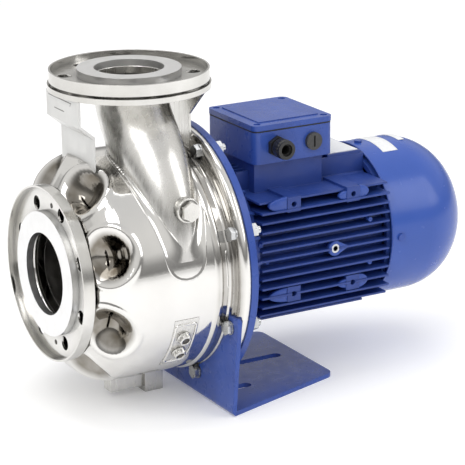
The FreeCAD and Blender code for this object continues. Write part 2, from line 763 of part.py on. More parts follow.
vane_blank = Piece("vane_blank")
vane_sketch = vane_blank.sketch("end", shroud_inner - shroud_thick / 2)
vane_blank.half_ring(vane_sketch, vane_bow, vane_bow - vane_thick / 2, vane_bow + vane_thick / 2)
vane_pad = vane_blank.pad(vane_sketch, impeller_outlet + shroud_thick)
vane_blank.around([vane_pad], vanes)
vane_window = Piece("vane_window")
vane_window.turn(ring_points(
    shroud_inner - shroud_thick / 2, back_inner + shroud_thick / 2, eye_radius, impeller_radius,
))
impeller_vanes = doc.addObject("Part::Common", "impeller_vanes")
impeller_vanes.Base = vane_blank.body
impeller_vanes.Tool = vane_window.body


def key_block(label, half, low, top, front, long):
    """A block on top of the shaft."""
    piece = Piece(label)
    piece.pad(piece.outline(piece.sketch("end", front), [
        (-half, low), (half, low), (half, top), (-half, top),
    ]), long)
    return piece.body


key_front = (hub_front + hub_back - key_long) / 2
key_space = key_block(
    "key_space", key_half + seat_gap, key_low - seat_gap, key_top + seat_gap,
    key_front - seat_gap, key_long + seat_gap * 2,
)
keep(key_block("impeller_key", key_half, key_low, key_top, key_front, key_long), "impeller_key")
keep(cut("impeller", fuse("impeller_whole", impeller.body, impeller_vanes), key_space), "impeller")

# Shaft, with its seats from the impeller to the fan

thread_radius = size("thread_radius", 8, "threaded shaft end radius")
nut_across = size("nut_across", 27, "impeller nut width across flats")
nut_long = size("nut_long", 12, "impeller nut length")
nut_washer = size("nut_washer", 2.5, "impeller washer thickness")
thread_spare = size("thread_spare", 2, "thread end inside the nut's face")
front_seat = size("front_seat", 20, "shaft radius at the front bearing")
front_bearing = size("front_bearing", 223, "front bearing's front face")
front_wide = size("front_wide", 18, "front bearing width")
front_outer = size("front_outer", 40, "front bearing outer radius")
front_shoulder = size("front_shoulder", 242, "shaft shoulder behind the front bearing")
rotor_seat = size("rotor_seat", 24, "shaft radius under the rotor")
rear_seat = size("rear_seat", 15, "shaft radius at the rear bearing")
rear_bearing = size("rear_bearing", 446, "rear bearing's front face")
rear_wide = size("rear_wide", 16, "rear bearing width")
rear_outer = size("rear_outer", 31, "rear bearing outer radius")
fan_seat = size("fan_seat", 12, "shaft radius at the fan")
shaft_front_step = size("shaft_front_step", 206, "where the shaft thickens for the bearing")
shaft_end = size("shaft_end", 506, "fan end of the shaft")

nut_back = hub_front - nut_washer
nut_front = nut_back - nut_long
shaft = Piece("shaft_blank")
shaft.turn([
    (nut_front + thread_spare, ZERO), (nut_front + thread_spare, thread_radius),
    (hub_front, thread_radius), (hub_front, shaft_wet), (shaft_front_step, shaft_wet),
    (shaft_front_step, front_seat), (front_shoulder, front_seat), (front_shoulder, rotor_seat),
    (rear_bearing, rotor_seat), (rear_bearing, rear_seat),
    (rear_bearing + rear_wide + 2, rear_seat), (rear_bearing + rear_wide + 2, fan_seat),
    (shaft_end, fan_seat), (shaft_end, ZERO),
])
keep(cut("shaft", shaft.body, key_space), "shaft")
nut = Piece("impeller_nut_blank")
nut.pad(nut.outline(nut.sketch("end", nut_front), hexagon(ZERO, ZERO, nut_across)), nut_long)
nut.pocket(
    nut.circle(nut.sketch("end", nut_front + thread_spare - seat_gap), ZERO, ZERO, thread_radius + seat_gap),
    nut_long, forward=True,
)
keep(nut.body, "impeller_nut")
washer = Piece("impeller_washer")
washer.turn(ring_points(nut_back, hub_front, thread_radius + seat_gap, hub_radius - nut_washer))
keep(washer.body, "impeller_washer")

# Seal housing, casing O-ring and mechanical seal

housing_front = size("housing_front", 142, "front face of the seal housing")
housing_rim = size("housing_rim", 4, "wall of the seal housing's skirt")
chamber_radius = size("chamber_radius", 38, "seal chamber radius")
chamber_back = size("chamber_back", 184, "rear wall of the seal chamber")
cord_radius = size("cord_radius", 1.9, "casing O-ring cord radius")
cord_along = size("cord_along", 160, "casing O-ring along the shaft")
seat_inner = size("seat_inner", 18.5, "stationary seat bore radius")
seat_long = size("seat_long", 8, "stationary seat length")
face_long = size("face_long", 8, "rotating face length")
face_outer = size("face_outer", 27, "rotating face radius")
collar_long = size("collar_long", 5, "seal collar length")
bellows_folds = size("bellows_folds", 4, "folds of the seal's bellows")
bellows_deep = size("bellows_deep", 3.5, "depth of each fold")
bellows_wall = size("bellows_wall", 1.2, "bellows wall across the shaft")
deflector_radius = size("deflector_radius", 21, "deflector lip radius")
deflector_long = size("deflector_long", 7, "deflector length")

skirt_outer = drum_radius - wall - (seat_gap + cord_radius) * 2
flange_front = seat_along + wall
housing = Piece("seal_housing")
housing.turn([
    (housing_front, chamber_radius), (housing_front, skirt_outer), (flange_front, skirt_outer),
    (flange_front, lip_radius - wall - seat_gap), (disc_front, lip_radius - wall - seat_gap),
    (disc_front, skirt_outer - housing_rim), (housing_front + wall, skirt_outer - housing_rim),
    (housing_front + wall, chamber_radius + wall), (chamber_back + wall, chamber_radius + wall),
    (chamber_back + wall, seat_inner), (chamber_back, seat_inner), (chamber_back, chamber_radius),
])
hole = housing.pocket(
    housing.circle(
        housing.sketch("end", flange_front, half_pitch), ZERO, bolt_pitch, bolt_radius + hole_slack,
    ),
    disc_front - flange_front, forward=True,
)
housing.around([hole], casing_bolts)
keep(housing.body, "seal_housing")


def round_ring(label, along, pitch, radius):
    """A ring with a round section."""
    piece = Piece(label)
    section = piece.circle(piece.sketch("side"), along, pitch, radius)
    made = piece.feature("Revolution", Profile=section)
    made.ReferenceAxis = (section, ["H_Axis"])
    made.Angle = 360
    return piece


oring = round_ring("casing_oring", cord_along, skirt_outer + seat_gap + cord_radius, cord_radius)
keep(oring.body, "casing_oring")

seat_front = chamber_back - seat_long
seat = Piece("seal_seat")
seat.turn(ring_points(seat_front, chamber_back, seat_inner, chamber_radius - seat_gap))
keep(seat.body, "seal_seat")
face_back = seat_front - run_gap / 2
face = Piece("seal_rotating_face")
face.turn(ring_points(face_back - face_long, face_back, shaft_wet + seat_gap, face_outer))
keep(face.body, "seal_rotating_face")
collar = Piece("seal_collar")
collar.turn(ring_points(hub_back, hub_back + collar_long, shaft_wet + seat_gap, face_outer))
keep(collar.body, "seal_collar")
bellows_front = hub_back + collar_long + seat_gap
bellows_run = face_back - face_long - seat_gap - bellows_front
crest = face_outer - seat_gap
folds = []
for i in range(round(bellows_folds.value) * 2 + 1):
    along = bellows_front + bellows_run * i / (bellows_folds * 2)
    folds.append((along, crest if i % 2 else crest - bellows_deep))
bellows = Piece("seal_bellows")
bellows.turn(folds + [(along, radius - bellows_wall) for along, radius in reversed(folds)])
keep(bellows.body, "seal_bellows")
deflector = Piece("shaft_deflector")
deflector.turn([
    (shaft_front_step - deflector_long, shaft_wet + seat_gap),
    (shaft_front_step - deflector_long, shaft_wet + wall),
    (shaft_front_step - wall, deflector_radius), (shaft_front_step, deflector_radius),
    (shaft_front_step, shaft_wet + seat_gap),
])
keep(deflector.body, "shaft_deflector")

# Adapter disc, casing bolts and foot

adapter = Piece("adapter_disc")
adapter.turn(ring_points(disc_front, disc_front + disc_thick, disc_hole, disc_radius))
hole = adapter.pocket(
    adapter.circle(
        adapter.sketch("end", disc_front, half_pitch), ZERO, bolt_pitch, bolt_radius + hole_slack,
    ),
    disc_thick, forward=True,
)
adapter.around([hole], casing_bolts)
keep(adapter.body, "adapter_disc")
disc_back = disc_front + disc_thick


def bolt_row(label, angles, under_head):
    """Casing bolts at some angles above -Y, with their washers, as separate solids."""
    parts = {"bolts": [], "washers": [], "nuts": []}
    grip = disc_back - under_head
    for i, angle in enumerate(angles):
        across, up = -(bolt_pitch * cosine(angle)), bolt_pitch * sine(angle)
        bolt = Piece(f"{label}_bolt{i}")
        head = bolt.sketch("end", under_head - washer_thick - head_high)
        bolt.pad(bolt.outline(head, hexagon(across, up, bolt_across)), head_high)
        bolt.pad(
            bolt.circle(bolt.sketch("end", under_head - washer_thick), across, up, bolt_radius),
            grip + washer_thick * 2 + nut_high + bolt_spare,
        )
        parts["bolts"].append(bolt.body)
        ring = Piece(f"{label}_washer{i}")
        for front in (under_head - washer_thick, disc_back):
            sketch = ring.sketch("end", front)
            ring.circle(sketch, across, up, washer_radius)
            ring.circle(sketch, across, up, bolt_radius + seat_gap)
            ring.pad(sketch, washer_thick)
        parts["washers"].append(ring.body)
        hex_nut = Piece(f"{label}_nut{i}")
        sketch = hex_nut.outline(
            hex_nut.sketch("end", disc_back + washer_thick + seat_gap), hexagon(across, up, bolt_across),
        )
        hex_nut.circle(sketch, across, up, bolt_radius + seat_gap)
        hex_nut.pad(sketch, nut_high)
        parts["nuts"].append(hex_nut.body)
    return parts


high_angles = [half_pitch, half_pitch * 3, 180 - half_pitch * 3, 180 - half_pitch]
high_row = bolt_row("high", high_angles, seat_along)
low_row = bolt_row("low", [-angle for angle in high_angles], seat_along - foot_thick)
keep(fuse("casing_bolts", *high_row["bolts"], *low_row["bolts"]), "casing_bolts")
loose_parts = [part for row in (high_row, low_row) for word in ("washers", "nuts") for part in row[word]]
keep(fuse("casing_nuts_and_washers", *loose_parts), "casing_nuts_and_washers")

casing_holes = Piece("casing_bolt_holes")
through = casing_holes.pad(
    casing_holes.circle(
        casing_holes.sketch("end", seat_along - wall, half_pitch), ZERO, bolt_pitch,
        bolt_radius + hole_slack,
    ),
    wall * 3,
)
casing_holes.around([through], casing_bolts)
keep(
    cut("pump_casing", shell_outside, shell_inside, horn_inside, casing_holes.body, *drain_bores),
    "pump_casing",
)

foot_front = seat_along - foot_thick
foot = Piece("foot_plate", refine=True)
foot.pad(foot.outline(foot.sketch("end", foot_front), [
    (-foot_half_front, -axis_height), (foot_half_front, -axis_height),
    (foot_half_top, -foot_top), (-foot_half_top, -foot_top),
]), foot_thick)
foot.pad(foot.outline(foot.sketch("floor", -axis_height), [
    (foot_front, -foot_half_front), (foot_front + foot_long, -foot_half_back),
    (foot_front + foot_long, foot_half_back), (foot_front, foot_half_front),
]), foot_thick)
foot.pocket(
    foot.circle(
        foot.sketch("end", foot_front), ZERO, ZERO, drum_radius + step_rise + seat_gap,
    ),
    foot_thick, forward=True,
)
for i in (0, 1, 2, 3):
    angle = -high_angles[i]
    foot.pocket(
        foot.circle(
            foot.sketch("end", foot_front), -(bolt_pitch * cosine(angle)), bolt_pitch * sine(angle),
            bolt_radius + hole_slack,
        ),
        foot_thick, forward=True,
    )
slots = foot.sketch("floor", -axis_height + foot_thick)
foot.slot(slots, foot_front + side_slot_along, side_slot_aside, side_slot_half, slot_radius)
foot.slot(slots, foot_front + side_slot_along, -side_slot_aside, side_slot_half, slot_radius)
foot.slot(slots, foot_front + long_slot_along, ZERO, long_slot_half, slot_radius)
foot.pocket(slots, foot_thick)
foot.soften(
    lambda edge: edge.BoundBox.YLength > foot_bend.value
    and abs(edge.CenterOfMass.x - foot_front.value) < 0.01
    and abs(edge.CenterOfMass.z + axis_height.value) < 0.01,
    foot_bend,
)
foot.soften(
    lambda edge: edge.BoundBox.YLength > foot_bend.value
    and abs(edge.CenterOfMass.x - seat_along.value) < 0.01
    and abs(edge.CenterOfMass.z + axis_height.value - foot_thick.value) < 0.01,
    foot_bend - foot_thick,
)
foot.soften(
    lambda edge: edge.BoundBox.DiagonalLength < foot_thick.value * 1.01
    and abs(edge.CenterOfMass.x - foot_front.value - foot_long.value) < 0.01,
    foot_corner,
)
foot.soften(
    lambda edge: edge.BoundBox.DiagonalLength < foot_thick.value * 1.01
    and abs(abs(edge.CenterOfMass.y) - foot_half_top.value) < 0.01
    and abs(edge.CenterOfMass.z + foot_top.value) < 0.01,
    foot_corner / 2,
)
keep(foot.body, "foot_plate")

# Motor: drive-end shield, finned frame, rear shield

shield_thick = size("shield_thick", 12, "drive-end shield flange thickness")
shield_flange = size("shield_flange", 118, "drive-end shield flange radius")
shield_nose = size("shield_nose", 98, "drive-end shield radius at the frame")
shield_wall = size("shield_wall", 7, "end shield wall")
shield_rib = size("shield_rib", 4, "drive-end shield rib thickness")
shield_ribs = size("shield_ribs", 20, "drive-end shield ribs")
frame_front = size("frame_front", 256, "front end of the motor frame")
frame_back = size("frame_back", 450, "rear end of the motor frame")
frame_wall = size("frame_wall", 7, "motor frame wall")
stator_outer = size("stator_outer", 80, "stator core radius")
stator_inner = size("stator_inner", 50, "stator bore radius")
stator_front = size("stator_front", 290, "front face of the stator core")
stator_back = size("stator_back", 406, "rear face of the stator core")
stator_slots = size("stator_slots", 24, "stator slots")
slot_wide = size("slot_wide", 5, "stator slot width")
slot_deep = size("slot_deep", 14, "stator slot depth")
winding_long = size("winding_long", 24, "end winding length")
air_gap = size("air_gap", 0.6, "gap between rotor and stator")
end_ring = size("end_ring", 8, "rotor end ring length")
fin_thick = size("fin_thick", 2.6, "fin thickness")
fin_reach = size("fin_reach", 103, "fin tips from the shaft axis")
side_fins = size("side_fins", 13, "fins on each side")
side_span = size("side_span", 150, "height of the stack of side fins")
top_fins = size("top_fins", 7, "fins above and below")
top_span = size("top_span", 74, "width of the stack of top fins")
fin_corner = size("fin_corner", 68, "where the fin tips turn the corner")
lug_across = size("lug_across", 20, "foot pad size on the frame's side")
lug_hole = size("lug_hole", 3.5, "foot pad hole radius")
lug_first = size("lug_first", 304, "front foot pads along the shaft")
lug_second = size("lug_second", 394, "rear foot pads along the shaft")
lug_high = size("lug_high", 69.5, "upper foot pads above the axis")
lug_low = size("lug_low", 50.5, "lower foot pads below the axis")
boss_at = size("boss_at", 367, "lifting boss along the shaft")
boss_round = size("boss_round", 10, "lifting boss radius")
insert_round = size("insert_round", 6, "threaded insert radius")
insert_bore = size("insert_bore", 3.4, "threaded insert bore radius")
insert_long = size("insert_long", 14, "threaded insert length")
strip_half = size("strip_half", 40, "half width of the flat strip under the frame")

shield = Piece("drive_end_shield")
shield_back = disc_back + shield_thick
bearing_back = front_bearing + front_wide
shield.turn([
    (disc_back, disc_hole), (disc_back, shield_flange), (shield_back, shield_flange),
    (frame_front - shield_wall, shield_nose), (frame_front, shield_nose),
    (frame_front, shield_nose - shield_wall), (frame_front - shield_wall, shield_nose - shield_wall),
    (shield_back, shield_flange - shield_wall * 3), (shield_back, front_outer + shield_wall),
    (bearing_back + wall, front_outer + shield_wall), (bearing_back + wall, front_outer + seat_gap),
    (front_bearing, front_outer + seat_gap), (front_bearing, disc_hole),
])
rib = shield.pad(shield.outline(shield.sketch("side"), [
    (shield_back - shield_thick / 2, shield_nose), (shield_back - shield_thick / 2, shield_flange),
    (shield_back, shield_flange), (frame_front, fin_reach), (frame_front, shield_nose - shield_wall),
]), shield_rib, both=True)
shield.around([rib], shield_ribs)
keep(shield.body, "drive_end_shield")

frame_long = frame_back - frame_front
frame_round = stator_outer + frame_wall


def block(label, along, aside, height):
    """A box between three pairs of places."""
    made = doc.addObject("Part::Box", label)
    for prop, (low, high) in (("Length", along), ("Width", aside), ("Height", height)):
        bind(made, prop, as_size(high) - low)
    return place(made, along[0], aside[0], height[0])


def rod(label, radius, long, along, aside, height, axis=(1, 0, 0), angle=ZERO):
    """A cylinder that starts at a place and points up before it is turned."""
    made = doc.addObject("Part::Cylinder", label)
    bind(made, "Radius", radius)
    bind(made, "Height", long)
    return place(made, along, aside, height, axis, angle)


tube = Piece("frame_tube")
tube.turn(ring_points(frame_front, frame_back, stator_outer + seat_gap, frame_round))
frame_parts = [tube.body]
length = (frame_front, frame_back)


def fin_places(count, span):
    """Middles of a stack of fins."""
    return [span * (i / (count.value - 1) - 0.5) for i in range(round(count.value))]


def fin_ends(place_of_fin):
    """Where a fin leaves the tube and where it ends, cut back at the corners."""
    root_end = root(frame_round * frame_round - place_of_fin * place_of_fin) - frame_wall / 3
    past = abs(place_of_fin.value) - fin_corner.value
    if past <= 0:
        return root_end, fin_reach
    way = 1 if place_of_fin.value > 0 else -1
    return root_end, fin_reach + fin_corner - place_of_fin * way


for i, up in enumerate(fin_places(side_fins, side_span)):
    near, far = fin_ends(up)
    thick = (up - fin_thick / 2, up + fin_thick / 2)
    frame_parts.append(block(f"fin_far{i}", length, (near, far), thick))
    frame_parts.append(block(f"fin_near{i}", length, (-far, -near), thick))
for i, aside in enumerate(fin_places(top_fins, top_span)):
    near, far = fin_ends(aside)
    thick = (aside - fin_thick / 2, aside + fin_thick / 2)
    frame_parts.append(block(f"fin_top{i}", length, thick, (near, far)))
    frame_parts.append(block(f"fin_low{i}", length, thick, (-far, -near)))
frame_parts.append(block(
    "flat_strip", length, (-strip_half, strip_half), (-fin_reach, -fin_reach + fin_thick),
))
side_face = fin_reach - fin_thick / 2
pad_root = frame_round / 2
frame_holes = []
for i, along in enumerate((lug_first, lug_second)):
    for j, up in enumerate((lug_high, -lug_low)):
        for way, turn in ((1, -90), (-1, 90)):
            ends = sorted((pad_root * way, side_face * way), key=lambda end: end.value)
            frame_parts.append(block(
                f"foot_pad{i}{j}{way + 1}", (along - lug_across / 2, along + lug_across / 2), ends,
                (up - lug_across / 2, up + lug_across / 2),
            ))
            frame_holes.append(rod(
                f"foot_pad_hole{i}{j}{way + 1}", lug_hole, insert_long, along,
                (side_face - insert_long + fin_thick) * way, up, (1, 0, 0), as_size(turn),
            ))
for way, turn in ((1, -90), (-1, 90)):
    frame_parts.append(rod(
        f"lifting_boss{way + 1}", boss_round, side_face - pad_root, boss_at, pad_root * way, ZERO,
        (1, 0, 0), as_size(turn),
    ))
    frame_holes.append(rod(
        f"insert_hole{way + 1}", insert_round + seat_gap, insert_long + fin_thick, boss_at,
        (side_face - insert_long) * way, ZERO, (1, 0, 0), as_size(turn),
    ))

insert = Piece("lifting_inserts")
for way in (1, -1):
    sleeve = insert.sketch("side", side_face * way)
    insert.circle(sleeve, boss_at, ZERO, insert_round)
    insert.circle(sleeve, boss_at, ZERO, insert_bore)
    insert.pad(sleeve, insert_long, back=way > 0)
keep(insert.body, "lifting_inserts")

# Terminal box on its pedestal, nameplate on its pad

box_front = size("box_front", 270, "front wall of the terminal box")
box_long = size("box_long", 118, "terminal box length along the shaft")
box_half = size("box_half", 61, "half width of the terminal box")
box_low = size("box_low", 115, "underside of the terminal box")
box_high = size("box_high", 157, "top of the terminal box")
box_wall = size("box_wall", 4, "terminal box wall")
box_corner = size("box_corner", 9, "terminal box corner radius")
lid_thick = size("lid_thick", 7, "terminal box lid thickness")
lid_over = size("lid_over", 0.5, "lid overhang")
gasket_thick = size("gasket_thick", 2, "terminal box gasket thickness")
pedestal_inset = size("pedestal_inset", 8, "pedestal set in from the box")
pedestal_short = size("pedestal_short", 12, "pedestal shorter than the box at the fan end")
cable_way = size("cable_way", 16, "cable passage radius into the frame")
screw_inset = size("screw_inset", 9, "lid screws from the lid's edges")
panel_inset = size("panel_inset", 14.4, "raised lid panel from the lid's edges")
panel_rise = size("panel_rise", 1.25, "raised lid panel height")
plate_front = size("plate_front", 398, "nameplate front edge")
plate_long = size("plate_long", 46, "nameplate length")
plate_half = size("plate_half", 34, "half width of the nameplate")
plate_thick = size("plate_thick", 1, "nameplate thickness")
plate_high = size("plate_high", 106, "nameplate's seat above the shaft axis")

pedestal_back = box_front + box_long - pedestal_short
frame_parts.append(block(
    "pedestal", (box_front + pedestal_inset / 2, pedestal_back),
    (-box_half + pedestal_inset, box_half - pedestal_inset), (pad_root, box_low),
))
frame_parts.append(block(
    "nameplate_pad", (plate_front - fin_thick, plate_front + plate_long + fin_thick),
    (-plate_half - fin_thick, plate_half + fin_thick), (pad_root, plate_high),
))
box_middle = box_front + box_long / 2
frame_holes.append(rod("cable_hole", cable_way, box_low, box_middle, ZERO, ZERO))
frame_holes.append(rod(
    "frame_bore", stator_outer + seat_gap, frame_long, frame_front, ZERO, ZERO, (0, 1, 0), as_size(90),
))
keep(
    cut("motor_frame", fuse("frame_whole", *frame_parts), fuse("frame_spaces", *frame_holes)),
    "motor_frame",
)


def box_outline(piece, sketch, grow):
    """The terminal box's rectangle, grown or shrunk all round."""
    return piece.outline(sketch, [
        (box_front - grow, -box_half - grow), (box_front + box_long + grow, -box_half - grow),
        (box_front + box_long + grow, box_half + grow), (box_front - grow, box_half + grow),
    ])


def is_post(edge, low, high):
    """Whether an edge stands upright between two heights."""
    box = edge.BoundBox
    return box.XLength + box.YLength < 0.01 and box.ZLength > (high - low) * 0.99


gland_at = size("gland_at", 303, "cable gland along the shaft")
gland_high = size("gland_high", 136.5, "cable gland above the shaft axis")
gland_thread = size("gland_thread", 10, "cable gland thread radius")
gland_across = size("gland_across", 25, "cable gland width across flats")
gland_flange = size("gland_flange", 6, "cable gland hexagon length")
gland_body = size("gland_body", 13, "cable gland body length past the hexagon")
gland_bore = size("gland_bore", 6, "cable gland seal bore radius")
gland_mouth = size("gland_mouth", 8, "cable gland nut mouth radius")
blank_at = size("blank_at", 357, "blanking plug along the shaft")
blank_radius = size("blank_radius", 11.5, "blanking plug head radius")
blank_thick = size("blank_thick", 5, "blanking plug head thickness")
blank_slot_half = size("blank_slot_half", 6.3, "half the run of the blanking plug's slot")
blank_slot_wide = size("blank_slot_wide", 1.25, "blanking plug slot half width")

box = Piece("terminal_box")
box.pad(box_outline(box, box.sketch("floor", box_low), ZERO), box_high - box_low)
box.soften(lambda edge: is_post(edge, box_low.value, box_high.value), box_corner)
box.pocket(box_outline(box, box.sketch("floor", box_high), -box_wall), box_high - box_low - box_wall)
box.pocket(box.circle(box.sketch("floor", box_low), box_middle, ZERO, cable_way), box_wall, forward=True)
ports = box.sketch("side", box_half)
box.circle(ports, gland_at, gland_high, gland_thread + seat_gap)
box.circle(ports, blank_at, gland_high, gland_thread + seat_gap)
box.pocket(ports, box_wall)
keep(box.body, "terminal_box")

gasket = Piece("box_gasket")
gasket.pad(box_outline(gasket, gasket.sketch("floor", box_high), ZERO), gasket_thick)
gasket.soften(lambda edge: is_post(edge, 0, gasket_thick.value), box_corner)
gasket.pocket(box_outline(gasket, gasket.sketch("floor", box_high + gasket_thick), -box_wall), gasket_thick)
keep(gasket.body, "box_gasket")

lid_base = box_high + gasket_thick
lid = Piece("terminal_box_lid")
lid.pad(box_outline(lid, lid.sketch("floor", lid_base), lid_over), lid_thick)
lid.soften(lambda edge: is_post(edge, 0, lid_thick.value), box_corner)
lid.pad(box_outline(lid, lid.sketch("floor", lid_base + lid_thick), -panel_inset), panel_rise)
screws = lid.sketch("floor", lid_base + lid_thick)
screw_spots = []
for along in (box_front + screw_inset, box_front + box_long - screw_inset):
    for aside in (-box_half + screw_inset, box_half - screw_inset):
        screw_spots.append((along, aside))
        lid.circle(screws, along, aside, screw_inset / 2)
lid.pocket(screws, lid_thick / 2)
shanks = lid.sketch("floor", lid_base + lid_thick)
for along, aside in screw_spots:
    lid.circle(shanks, along, aside, screw_inset / 4 + seat_gap)
lid.pocket(shanks, lid_thick)
keep(lid.body, "terminal_box_lid")

lid_screws = Piece("lid_screws")
screw_seat = lid_base + lid_thick / 2
for along, aside in screw_spots:
    sketch = lid_screws.sketch("floor", screw_seat)
    lid_screws.pad(lid_screws.circle(sketch, along, aside, screw_inset / 2 - run_gap), lid_thick / 3)
    sketch = lid_screws.circle(lid_screws.sketch("floor", screw_seat), along, aside, screw_inset / 4)
    lid_screws.pad(sketch, lid_thick / 2 - seat_gap, back=True)

board_half = size("board_half", 22, "half side of the terminal board")
board_thick = size("board_thick", 6, "terminal board thickness")
board_place = size("board_place", 85, "terminal board's middle from the box's front")
board_short = size("board_short", 15.4, "half length of the terminal board along the shaft")
stud_radius = size("stud_radius", 2.5, "terminal stud radius")
stud_high = size("stud_high", 12, "terminal stud height")
stud_apart = size("stud_apart", 14, "distance between terminal studs")
board_at = box_front + board_place
board = Piece("terminal_board")
board.pad(board.outline(board.sketch("floor", box_low + box_wall), [
    (board_at - board_short, -board_half), (board_at + board_short, -board_half),
    (board_at + board_short, board_half), (board_at - board_short, board_half),
]), board_thick)
board_top = box_low + box_wall + board_thick
for along in (board_at - stud_apart / 2, board_at + stud_apart / 2):
    for aside in (-stud_apart, ZERO, stud_apart):
        board.pad(board.circle(board.sketch("floor", board_top), along, aside, stud_radius), stud_high)
keep(board.body, "terminal_board")

# Cable gland and blanking plug in the box's near wall


def sideways(thing, along, reach):
    """Turns an object that points up so that it points to -Y out of the box."""
    return place(thing, along, -as_size(reach), gland_high, (1, 0, 0), as_size(90))


gland_reach = gland_flange + gland_body
gland = Piece("cable_gland_body")
gland.pad(gland.outline(gland.sketch("floor"), hexagon(ZERO, ZERO, gland_across)), gland_flange)
gland.pad(gland.circle(gland.sketch("floor"), ZERO, ZERO, gland_thread), gland_reach)
gland.pad(gland.circle(gland.sketch("floor"), ZERO, ZERO, gland_thread), box_wall * 2, back=True)
mouth = gland.circle(gland.sketch("floor", gland_reach), ZERO, ZERO, gland_mouth)
gland.pocket(mouth, gland_reach + box_wall * 2)
keep(sideways(gland.body, gland_at, box_half), "cable_gland_body")
gland_seal = Piece("cable_gland_seal")
sketch = gland_seal.circle(gland_seal.sketch("floor", gland_flange), ZERO, ZERO, gland_mouth - seat_gap)
gland_seal.circle(sketch, ZERO, ZERO, gland_bore)
gland_seal.pad(sketch, gland_body + box_wall / 2)
keep(sideways(gland_seal.body, gland_at, box_half), "cable_gland_seal")
cap_nut = Piece("cable_gland_nut")
for start, inner, long in (
    (gland_flange + wall, gland_thread + seat_gap, gland_body - wall),
    (gland_reach, gland_mouth + seat_gap, box_wall / 2),
    (gland_reach + box_wall / 2, gland_mouth, box_wall),
):
    sketch = cap_nut.sketch("floor", start)
    cap_nut.circle(sketch, ZERO, ZERO, gland_across / 2 - run_gap)
    cap_nut.circle(sketch, ZERO, ZERO, inner)
    cap_nut.pad(sketch, long)
keep(sideways(cap_nut.body, gland_at, box_half), "cable_gland_nut")
blank = Piece("blanking_plug")
blank.pad(blank.circle(blank.sketch("floor"), ZERO, ZERO, blank_radius), blank_thick)
blank.pad(blank.circle(blank.sketch("floor"), ZERO, ZERO, gland_thread), box_wall * 2, back=True)
key_slot = blank.sketch("floor", blank_thick)
blank.slot(key_slot, ZERO, ZERO, blank_slot_half, blank_slot_wide, upright=True)
blank.pocket(key_slot, blank_thick / 2)
keep(sideways(blank.body, blank_at, box_half), "blanking_plug")

nameplate = Piece("nameplate")
nameplate.pad(nameplate.outline(nameplate.sketch("floor", plate_high), [
    (plate_front, -plate_half), (plate_front + plate_long, -plate_half),
    (plate_front + plate_long, plate_half), (plate_front, plate_half),
]), plate_thick)
keep(nameplate.body, "nameplate")

# Stator, rotor and bearings

stator = Piece("stator_core")
stator.turn(ring_points(stator_front, stator_back, stator_inner, stator_outer))
slot_sketch = stator.outline(stator.sketch("end", stator_front), [
    (-slot_wide / 2, stator_inner - slot_wide), (slot_wide / 2, stator_inner - slot_wide),
    (slot_wide / 2, stator_inner + slot_deep), (-slot_wide / 2, stator_inner + slot_deep),
])
slot_cut = stator.pocket(slot_sketch, stator_back - stator_front, forward=True)
stator.around([slot_cut], stator_slots)
keep(stator.body, "stator_core")
windings = Piece("stator_windings")
for start, end in ((stator_front - winding_long, stator_front), (stator_back, stator_back + winding_long)):
    windings.turn([
        (start, stator_inner + slot_wide), (start, stator_inner + slot_deep),
        (end, stator_inner + slot_deep + slot_wide), (end, stator_inner + slot_wide / 2),
    ])
keep(windings.body, "stator_windings")
rotor = Piece("rotor_core")
rotor.turn([
    (stator_front - end_ring, rotor_seat + seat_gap), (stator_front - end_ring, stator_inner - slot_wide),
    (stator_front, stator_inner - slot_wide), (stator_front, stator_inner - air_gap),
    (stator_back, stator_inner - air_gap), (stator_back, stator_inner - slot_wide),
    (stator_back + end_ring, stator_inner - slot_wide), (stator_back + end_ring, rotor_seat + seat_gap),
])
keep(rotor.body, "rotor_core")

ball_gap = size("ball_gap", 0.1, "running gap of a ball in its race")
front_balls = size("front_balls", 9, "balls of the front bearing")
front_ball = size("front_ball", 6, "front bearing ball radius")
rear_balls = size("rear_balls", 9, "balls of the rear bearing")
rear_ball = size("rear_ball", 4.7, "rear bearing ball radius")
cage_half = size("cage_half", 1.2, "half thickness of a ball cage")
cage_reach = size("cage_reach", 1.15, "half length of a ball cage, in ball radii")


def ball_bearing(name, front, wide, inner, outer, balls, ball):
    """A deep-groove ball bearing: two rings, balls and a cage."""
    middle = front + wide / 2
    pitch = (inner + outer) / 2
    inner_ring = Piece(f"{name}_inner_ring")
    inner_ring.turn(ring_points(front, front + wide, inner + seat_gap, pitch - ball / 2))
    outer_ring = Piece(f"{name}_outer_ring")
    outer_ring.turn(ring_points(front, front + wide, pitch + ball / 2, outer))
    for ring in (inner_ring, outer_ring):
        race = ring.circle(ring.sketch("side"), middle, pitch, ball + ball_gap)
        groove = ring.feature("Groove", Profile=race)
        groove.ReferenceAxis = (race, ["H_Axis"])
        groove.Angle = 360
        keep(ring.body, ring.label)
    rolling = Piece(f"{name}_rollers")
    cage = Piece(f"{name}_cage")
    cage_long = ball * cage_reach
    cage.turn(ring_points(middle - cage_long, middle + cage_long, pitch - cage_half, pitch + cage_half))
    for piece, kind, radius in (
        (rolling, "AdditiveSphere", ball), (cage, "SubtractiveSphere", ball + ball_gap),
    ):
        sphere = piece.feature(kind)
        sphere.AttachmentSupport = [(piece.origin("YZ_Plane"), "")]
        sphere.MapMode = "FlatFace"
        bind(sphere, "Radius", radius)
        bind(sphere, "AttachmentOffset.Base.y", pitch)
        bind(sphere, "AttachmentOffset.Base.z", middle)
        piece.around([sphere], balls)
    keep(fuse(f"{name}_balls", rolling.body, cage.body), f"{name}_balls")


ball_bearing("front_bearing", front_bearing, front_wide, front_seat, front_outer, front_balls, front_ball)
ball_bearing("rear_bearing", rear_bearing, rear_wide, rear_seat, rear_outer, rear_balls, rear_ball)

# Rear end: shield, preload spring, fan and fan cover

